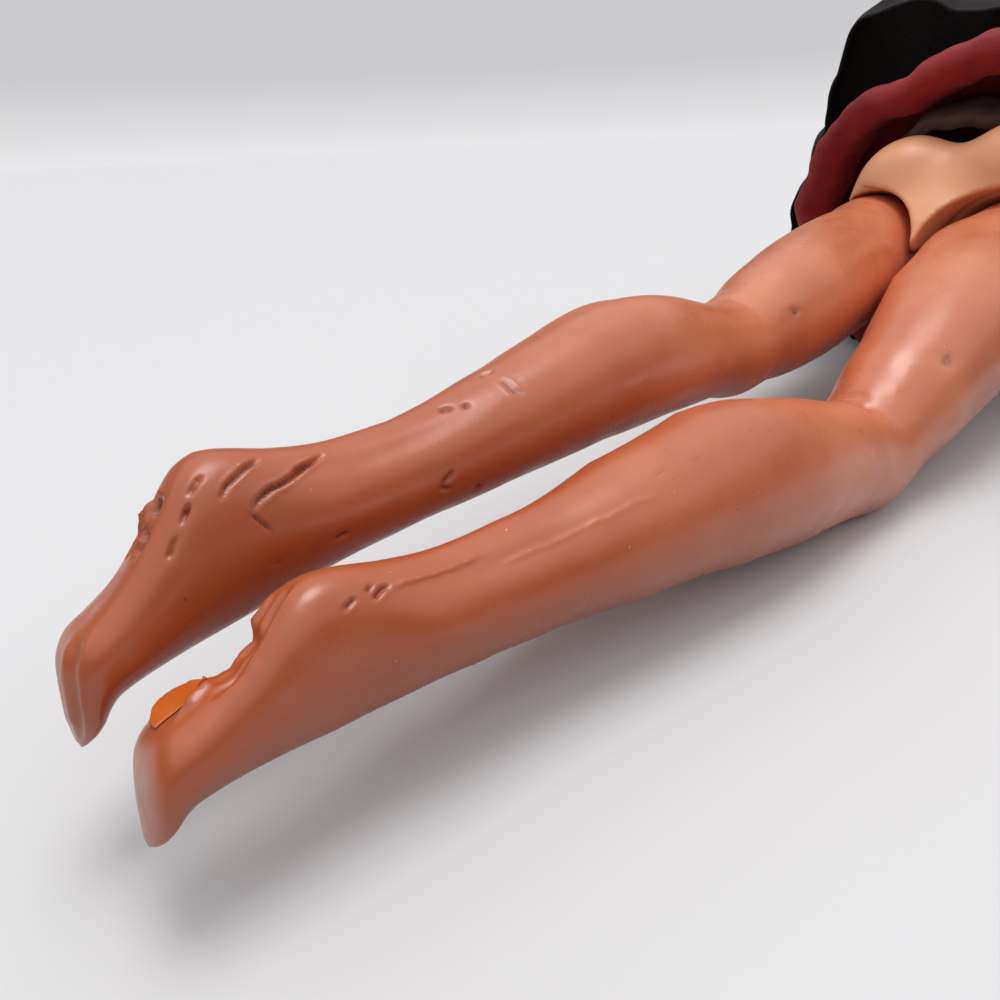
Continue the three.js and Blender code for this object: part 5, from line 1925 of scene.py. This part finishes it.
def tube_of_cloth(name: str, middle: np.ndarray, thick: float) -> Object:
    """A closed shell of cloth on both sides of a ring grid, with round edges and a flat pattern.

    Args:
        name: the object's name.
        middle: the cloth's middle layer (row, place round the ring, xyz), in millimetres.
        thick: the cloth's thickness.

    Returns:
        The object. Its UV map "flat" is the cloth laid flat, in metres.
    """
    normal = grid_normals(middle)
    along = np.gradient(middle, axis=0)
    along /= np.linalg.norm(along, axis=-1, keepdims=True) + 1e-9
    outer, inner = middle + normal * thick / 2, middle - normal * thick / 2
    first, last = middle[:1] - along[:1] * thick / 2, middle[-1:] + along[-1:] * thick / 2
    rows = np.concatenate([outer, last, inner[::-1], first])
    step = np.linalg.norm(np.diff(middle, axis=0), axis=-1).mean(1)
    up = np.concatenate([[0], np.cumsum(step)])
    v = np.concatenate([up, [up[-1] + thick], up[::-1] + 2 * thick, [-thick]])
    round_step = np.linalg.norm(np.roll(middle, -1, axis=1) - middle, axis=-1).mean(0)
    u = np.concatenate([[0], np.cumsum(round_step)])
    uv = np.stack(np.broadcast_arrays(u[None, :], v[:, None]), -1) * MM
    return wrapped_mesh(name, rows, uv)


def wrapped_mesh(name: str, rows: np.ndarray, uv: np.ndarray) -> Object:
    """A smooth mesh over rings whose last ring joins the first, as on a bent tyre.

    Args:
        name: the object's name.
        rows: the rings of points in millimetres (ring, place, xyz).
        uv: the cloth's flat place of each point (ring, place + 1, 2), in metres.

    Returns:
        The new object.
    """
    count, sides = rows.shape[:2]
    ring, place = np.meshgrid(np.arange(count), np.arange(sides), indexing="ij")
    after, beside = (ring + 1) % count, (place + 1) % sides
    faces = np.stack([
        ring * sides + place, after * sides + place, after * sides + beside, ring * sides + beside,
    ], -1).reshape(-1, 4)
    wide = np.concatenate([uv, uv[:1] - 0.001], axis=0)
    corners = [wide[ring, place], wide[ring + 1, place], wide[ring + 1, place + 1], wide[ring, place + 1]]
    return closed_mesh(name, rows.reshape(-1, 3), faces.tolist(), np.stack(corners, -2))


def cloth_area(middle: np.ndarray) -> float:
    """The area of one layer of a ring grid, in square millimetres.

    Args:
        middle: the grid of points.

    Returns:
        Its area.
    """
    up = np.diff(np.concatenate([middle, middle[:, :1]], axis=1), axis=0)[:, :-1]
    across = (np.roll(middle, -1, axis=1) - middle)[:-1]
    return float(np.linalg.norm(np.cross(up, across), axis=-1).sum())


@dataclass(frozen=True)
class Fold:
    """One wave round a skirt: how many, how deep in millimetres, and where it starts."""

    count: int
    depth: float
    phase: float


@dataclass
class SkirtTier:
    """One gathered tier, cut as a strip and sewn into a ring.

    profile rows are: share of the way from hem to waistband, radius, how free the cloth is of the
    body from 0 to 1, and its distance from the waistband. flat, the strip's length and width in
    millimetres before it is gathered, is not used.
    """

    name: str
    node: str
    profile: tuple[tuple[float, float, float, float], ...]
    folds: tuple[Fold, ...]
    offset: float
    flat: tuple[float, float]
    gathers: float = 0.5
    crumple: float = 0.5
    lobe: tuple[float, float, float] | None = None
    thick: float = 0.55
    sides: int = 400
    rows: int = 84
    seed: int = 1
    hem: float = 8.0
    top: float = 33.2
    band: tuple[float, float] = (17.2, 13.2)
    lift: float = 6.5

    def middle(self, stance: Stance) -> np.ndarray:
        """The cloth's middle layer in the row's frame.

        Args:
            stance: where the doll lies.

        Returns:
            Its grid of points.
        """
        profile = np.array(self.profile)
        profile[:, 0] = self.hem + profile[:, 0] * (self.top - self.hem)
        knots = np.concatenate([[0], np.cumsum(np.hypot(*np.diff(profile[:, :2], axis=0).T))])
        at = np.linspace(0, knots[-1], self.rows)
        z, radius, share, off = (v[:, None] for v in hermite(knots, profile, at).T)
        angle = np.linspace(0, 2 * np.pi, self.sides, endpoint=False)[None, :]
        oval = 1 / np.hypot(np.cos(angle) / self.band[0], np.sin(angle) / self.band[1])
        wave = sum(f.depth * np.cos(f.count * angle + f.phase) for f in self.folds)
        if self.lobe:
            turn, height, width = self.lobe
            away = (angle - math.radians(turn) + np.pi) % (2 * np.pi) - np.pi
            wave = wave + height * np.exp(-((away / width) ** 2))
        share = np.clip(share, 0, 1)
        r = (1 - share) * (oval + off) + share * (radius + wave)
        lifted = z + self.lift * smooth(-0.1, 0.6, np.sin(angle)) * (self.top - z) / (self.top - self.hem)
        # Gathers run down from the band, and the cloth crumples more where it hangs free
        tuck = self.gathers * np.cos(46 * angle + 1.5 * np.sin(5 * angle)) * smooth(0, 0.12, share)
        tuck = tuck * (1 - 0.75 * smooth(0.2, 1, share))
        place = np.stack(np.broadcast_arrays(r * np.cos(angle), r * np.sin(angle), lifted * 1.6), -1)
        rough = rough_noise(place, 11, self.seed) * self.crumple * smooth(0.02, 0.6, share)
        r = r + tuck + rough
        grid = np.stack(np.broadcast_arrays(r * np.cos(angle), r * np.sin(angle), lifted + 0.5 * rough), -1)
        grid = grid - grid_normals(grid) * self.offset
        row = transformed(grid, stance.body)
        row[..., 2] = np.maximum(row[..., 2], 0.08 + self.thick / 2 + 0.05 * rough)
        return row

    def build(self, stance: Stance, material: Material, slot: str) -> np.ndarray:
        """Makes the tier.

        Args:
            stance: where the doll lies.
            material: the finish of the cloth.
            slot: its material slot.

        Returns:
            The grid of the cloth's middle layer.
        """
        middle = self.middle(stance)
        thing = tube_of_cloth(self.name, middle, self.thick)
        dressed(thing, material, slot, "pelvis", self.node)
        LOG.info("%s has %.0f mm2 of cloth", self.name, cloth_area(middle))
        return middle


@dataclass
class Dress:
    """The party dress: a red bodice, a black band and a skirt of three tiers, pushed up to the hips."""

    stance: Stance
    upper: UpperBody
    stitch_length: float = 1.3
    stitch_gap: float = 0.9
    thread_width: float = 0.28
    bodice_hem: float = 35.9
    neckline: float = 71.6
    snap_spacing: float = 11.0

    def bodice(self, wardrobe: Wardrobe) -> None:
        """The fitted tube of the bodice, open down the back with three snaps.

        Args:
            wardrobe: the finishes.
        """
        rows, sides = 90, 320
        angle = np.linspace(0, 2 * np.pi, sides, endpoint=False)
        way = np.stack([np.cos(angle), np.sin(angle), 0 * angle], -1)
        front = smooth(0.2, 0.9, np.sin(angle))
        scallop = 1.2 * np.abs(np.sin(2 * angle)) * front
        neckline = self.neckline + scallop - 1.4 * front * np.exp(-((np.cos(angle) / 0.16) ** 2))
        share = np.linspace(0, 1, rows)[:, None]
        z = self.bodice_hem + share * (neckline - self.bodice_hem)[None, :]
        start = np.stack([0 * z, 0.8 + 0 * z, z], -1)
        ways = np.broadcast_to(way, start.shape)
        girth = 17
        crease = np.stack(np.broadcast_arrays(girth * np.cos(angle), girth * np.sin(angle), 2.2 * z), -1)
        fold = rough_noise(crease, 15, 21) * (0.3 + 0.5 * smooth(0.35, 0, share))
        across = girth * ((angle + np.pi / 2 + np.pi) % (2 * np.pi) - np.pi)
        placket = 0.45 * smooth(2.9, 2.5, np.abs(across))[None, :]
        hems = 0.22 * (smooth(2.4, 2.0, neckline - z) + smooth(2.4, 2.0, z - self.bodice_hem))
        from_dart = np.abs(np.degrees(angle) - 90) - 27
        dart = -0.3 * np.exp(-((from_dart / 1.2) ** 2))[None, :] * smooth(0.75, 0.1, share)
        level_at = 0.62 + np.maximum(fold, -0.25) + placket + hems + dart
        far = reach(self.upper.skin_field, start, ways, 5, 30, level_at)
        middle = transformed(start + ways * far[..., None], self.stance.body)
        thing = tube_of_cloth("bodice_cloth", middle, 0.42)
        dressed(thing, wardrobe.red, "red_cloth", "chest", "bodice")
        LOG.info("bodice has %.0f mm2 of cloth", cloth_area(middle))
        self.stitches(wardrobe, "bodice_top_stitch", middle[-5], grid_normals(middle)[-5] * 0.25, "chest")
        self.stitches(wardrobe, "bodice_hem_stitch", middle[5], grid_normals(middle)[5] * 0.25, "chest")

    def snaps(self, wardrobe: Wardrobe) -> None:
        """Three pressed snaps on the back edge of the bodice.

        Args:
            wardrobe: the finishes.
        """
        knots = np.array([
            (0, 0.05), (0.45, 0.05), (0.62, 0.42), (0.8, 0.62), (1.0, 0.6), (1.22, 0.38), (1.5, 0.42),
            (1.68, 0.3), (1.72, 0.1), (1.55, -0.05), (0.02, -0.05),
        ])
        for k in range(3):
            z = 43.45 + self.snap_spacing * k
            start = np.array([[0, 0.8, z], [0, 0.8, z - 1], [0, 0.8, z + 1]])
            far = reach(self.upper.skin_field, start, np.array([[0, -1.0, 0]] * 3), 5, 30, 1.35)
            slope = math.atan2(far[2] - far[1], 2.0)
            turn = turn_about((1, 0, 0), 90 - math.degrees(slope))
            angle = np.linspace(0, 2 * np.pi, 40, endpoint=False)
            grid = np.stack([
                knots[:, :1] * np.cos(angle), knots[:, :1] * np.sin(angle), knots[:, 1:] + 0 * angle,
            ], -1)
            grid = transformed(transformed(grid, turn) + np.array([0, 0.8 - far[0], z]), self.stance.body)
            snap = ring_mesh(f"snap_{k + 1}", grid)
            dressed(snap, wardrobe.snap, "steel", "chest", f"bodice_snap_{k + 1}")

    def waistband(self, wardrobe: Wardrobe) -> None:
        """A black ribbon round the lower body.

        Args:
            wardrobe: the finishes.
        """
        angle = np.linspace(0, 2 * np.pi, 260, endpoint=False)[None, :]
        share = np.linspace(0, 1, 26)[:, None]
        z = 28.3 + 6.2 * share
        wide = 17.3 - 1.9 * share
        deep = 12.6 - 1.7 * share
        swell = 0.25 * np.sin(np.pi * share) + 0.12 * np.cos(7 * np.pi * share) + 0.12 * np.cos(11 * angle)
        x, y = (wide + swell) * np.cos(angle), 0.1 + (deep + swell) * np.sin(angle)
        grid = np.stack(np.broadcast_arrays(x, y, z), -1)
        middle = transformed(grid, self.stance.body)
        band = tube_of_cloth("waist_ribbon", middle, 0.5)
        dressed(band, wardrobe.black, "black_cloth", "pelvis", "waistband")
        LOG.info("waistband has %.0f mm2 of cloth", cloth_area(middle))

    def stitches(self, wardrobe: Wardrobe, name: str, line: np.ndarray, lift: np.ndarray, body: str) -> None:
        """Sews a run of thread along a closed line, with geometry nodes.

        Args:
            wardrobe: the finishes.
            name: the run's name.
            line: the points of the line, in millimetres.
            lift: how far the thread lies off each of them.
            body: the body that it rides on.
        """
        count = len(line)
        run = wire(name, line + lift, [(i, (i + 1) % count) for i in range(count)])
        grow(run, stitch_tree(wardrobe.thread), {
            "Spacing": (self.stitch_length + self.stitch_gap) * MM, "Length": self.stitch_length * MM,
            "Thickness": self.thread_width * MM,
        })
        dressed(run, wardrobe.thread, "red_cloth", body)

    def build(self, wardrobe: Wardrobe) -> None:
        """Makes every piece of the dress.

        Args:
            wardrobe: the finishes.
        """
        self.bodice(wardrobe)
        self.snaps(wardrobe)
        self.waistband(wardrobe)
        roll = 26.5
        hem = SkirtTier(
            "red_hem_tier", "skirt_hem_tier",
            ((0.357, roll - 1, 1, 0), (0.119, roll, 1, 0), (0.0, 30, 1, 0), (0.079, 33, 1, 0),
             (0.357, 33, 1, 0), (0.675, 26, 0.8, 1), (0.89, 18, 0.05, 3.0)),
            (Fold(5, 1.0, 0.6), Fold(9, 0.7, 2.1), Fold(17, 0.35, 0.4)),
            0.6, (202, 34), crumple=0.55, seed=3,
        ).build(self.stance, wardrobe.red, "red_cloth")
        self.stitches(wardrobe, "hem_stitch", hem[44], grid_normals(hem)[44] * 0.3, "pelvis")
        lining = roll - 4.8
        # The lining is black cloth drawn in that lit charcoal: painted light
        SkirtTier(
            "black_lining", "skirt_lining",
            ((0.198, lining - 1.6, 1, 0), (0.183, lining - 0.2, 1, 0), (0.437, lining + 0.6, 1, 0),
             (0.714, lining - 1.6, 0.7, 1), (0.96, lining - 6, 0, 0.3)),
            (Fold(7, 0.5, 1.2), Fold(19, 0.25, 0)),
            -0.4, (130, 22.4), gathers=0.2, crumple=0.4, seed=7, thick=0.5,
        ).build(self.stance, wardrobe.brown, "black_cloth")
        SkirtTier(
            "black_over_tier", "skirt_over_tier",
            ((0.516, 38, 1, 0), (0.675, 39, 1, 0), (0.833, 32, 0.8, 2), (0.965, 19, 0.05, 0.0),
             (1.02, 18, 0, -1.9)),
            (Fold(6, 1.4, 0.2), Fold(10, 0.8, 1.4), Fold(23, 0.5, 0.9)),
            -0.6, (216, 25), gathers=0.5, crumple=0.8, lobe=(232, 6, 0.28), seed=9, thick=0.5,
        ).build(self.stance, wardrobe.black, "black_cloth")


def stitch_tree(material: Material) -> NodeTree:
    """Geometry nodes that lay short rounded threads along a line, one after another.

    Args:
        material: the pieces' finish.

    Returns:
        The tree.
    """
    sizes = dict.fromkeys(("Spacing", "Length", "Thickness"), "NodeSocketFloat")
    tree, enter = new_tree("stitches_along_line", sizes)
    curve = add(tree, "GeometryNodeMeshToCurve", {"Mesh": enter["Geometry"]})
    points = add(tree, "GeometryNodeCurveToPoints", {"Curve": curve, "Length": enter["Spacing"]},
                 mode="LENGTH")
    bead = add(tree, "GeometryNodeMeshIcoSphere", {"Radius": 0.5, "Subdivisions": 2})
    wide = enter["Thickness"]
    size = add(tree, "ShaderNodeCombineXYZ", {0: wide, 1: wide, 2: enter["Length"]})
    thread = add(tree, "GeometryNodeTransform", {"Geometry": bead, "Scale": size})
    end_tree(tree, add(tree, "GeometryNodeInstanceOnPoints", {
        "Points": points, "Instance": thread, "Rotation": points.node.outputs["Rotation"],
    }), material)
    return tree


def dress_inner_parts(wardrobe: Wardrobe) -> None:
    """Gives the pins, bones and plugs inside their own finishes.

    Args:
        wardrobe: the finishes.
    """
    for name, node in frame["nodes"].items():
        if "shoulder" in name and any(word in name for word in ("spindle", "plug")):
            finish = wardrobe.skin
        elif any(word in name for word in ("axle", "pin")) and "spindle" not in name:
            finish = wardrobe.steel
        elif any(word in name for word in ("bone", "spindle", "plug")):
            finish = wardrobe.bone
        else:
            continue
        node.data.materials.clear()
        node.data.materials.append(finish)


# Stage


@dataclass
class Studio:
    """The pale floor, the soft lamps and the camera, with angles in degrees and places in millimetres."""

    picture_px: float = 1000.0
    focal_px: float = 741.0
    film_mm: float = 36.0
    yaw: float = 49.4
    pitch: float = 26.1
    roll: float = -2.6
    eye_from_hips: tuple[float, float, float] = (53.5, -154.0, 23.5)
    floor_half_m: float = 4.0

    def camera(self, stance: Stance) -> None:
        """Puts the camera where the photograph was taken from.

        Args:
            stance: where the doll lies.
        """
        yaw, pitch, roll = (math.radians(v) for v in (self.yaw, self.pitch, self.roll))
        level = math.cos(pitch)
        ahead = np.array([-math.sin(yaw) * level, math.cos(yaw) * level, -math.sin(pitch)])
        right = np.cross(ahead, (0, 0, 1))
        right /= np.linalg.norm(right)
        up = np.cross(right, ahead)
        turned_right = math.cos(roll) * right + math.sin(roll) * up
        turned_up = -math.sin(roll) * right + math.cos(roll) * up
        hips = (stance.pivots["hip_right"] + stance.pivots["hip_left"]) / 2
        eye = hips + np.array(self.eye_from_hips)
        data = bpy.data.cameras.new("camera")
        data.sensor_width = self.film_mm
        data.lens = self.focal_px / self.picture_px * self.film_mm
        data.clip_start = 0.005
        camera = in_scene("camera", data)
        turn = np.eye(4)
        turn[:3, 0], turn[:3, 1], turn[:3, 2] = turned_right, turned_up, -ahead
        turn[:3, 3] = eye * MM
        camera.matrix_world = Matrix(turn.tolist())
        bpy.context.scene.camera = camera

    def floor(self) -> None:
        """A wide plain floor that looks pale grey to the camera and in reflections."""
        mesh = bpy.data.meshes.new("floor")
        far = self.floor_half_m
        mesh.from_pydata([(-far, -far, 0), (far, -far, 0), (far, far, 0), (-far, far, 0)], [], [(0, 1, 2, 3)])
        floor = in_scene("floor", mesh)
        material, tree, _ = new_material("pale_floor")
        camera = add(tree, "ShaderNodeLightPath", out="Is Camera Ray")
        glossy = camera.node.outputs["Is Glossy Ray"]
        seen = add(tree, MATH, {0: camera, 1: glossy}, operation="MAXIMUM")
        finish_material(tree, {"Base Color": layered(tree, "#94918f", (seen, "#dbdadb")), "Roughness": 0.8})
        mesh.materials.append(material)

    def sun(self, name: str, towards: tuple[float, float, float], strength: float, wide: float) -> None:
        """Adds a far soft lamp.

        Args:
            name: the lamp's name.
            towards: the direction that it shines in.
            strength: its strength.
            wide: its size in degrees.
        """
        data = bpy.data.lights.new(name, "SUN")
        data.energy = strength
        data.angle = math.radians(wide)
        lamp = in_scene(name, data)
        lamp.rotation_euler = Vector(towards).to_track_quat("-Z", "Y").to_euler()

    def sky(self) -> None:
        """A soft tent of light, brighter overhead; the camera sees the plain backdrop instead."""
        world = bpy.data.worlds.new("studio")
        world.use_nodes = True
        tree = world.node_tree
        tree.nodes.clear()
        way = add(tree, "ShaderNodeTexCoord", out="Generated")
        height = add(tree, "ShaderNodeSeparateXYZ", {"Vector": way}, "Z")
        strength = add(tree, RANGE, {0: height, 1: -0.1, 2: 1.0, 3: 0.12, 4: 0.42})
        tent = add(tree, "ShaderNodeBackground", {"Color": linear("#f4f6fa"), "Strength": strength})
        tone = layered(tree, "#e9e8ea", (add(tree, RANGE, {0: height, 1: -0.01, 2: 0.07}), "#cbcbcd"))
        drop = add(tree, "ShaderNodeBackground", {"Color": tone, "Strength": 1.0})
        seen = add(tree, "ShaderNodeLightPath", out="Is Camera Ray")
        both = add(tree, "ShaderNodeMixShader", {0: seen, 1: tent, 2: drop})
        add(tree, "ShaderNodeOutputWorld", {"Surface": both})
        bpy.context.scene.world = world

    def build(self, stance: Stance) -> None:
        """Sets up the stage, the lamps and the camera.

        Args:
            stance: where the doll lies.
        """
        self.floor()
        self.sun("overhead", (0.08, -0.16, -1.0), 1.2, 30)
        self.sun("ceiling", (0.0, -0.05, -1.0), 1.5, 125)
        self.sky()
        bpy.context.scene.view_settings.view_transform = "Standard"
        self.camera(stance)


def main() -> None:
    """Builds the doll, piece by piece."""
    logging.basicConfig(level=logging.INFO, format="%(relativeCreated)d %(name)s: %(message)s")
    stance = Stance()
    wardrobe = Wardrobe()
    Studio().build(stance)
    for side in Side:
        leg = Leg(side, stance, LEG_MARKS[side]).build(wardrobe)
        LOG.info("%s with %d faces", leg.name, len(leg.data.polygons))
        Arm(side, stance).build(wardrobe)
    LowerBody(stance).build(wardrobe)
    upper = UpperBody(stance)
    upper.build(wardrobe)
    head = Head(stance)
    head.build(wardrobe)
    Hair(head).build(wardrobe)
    Dress(stance, upper).build(wardrobe)
    dress_inner_parts(wardrobe)


if __name__ == "__main__":
    main()
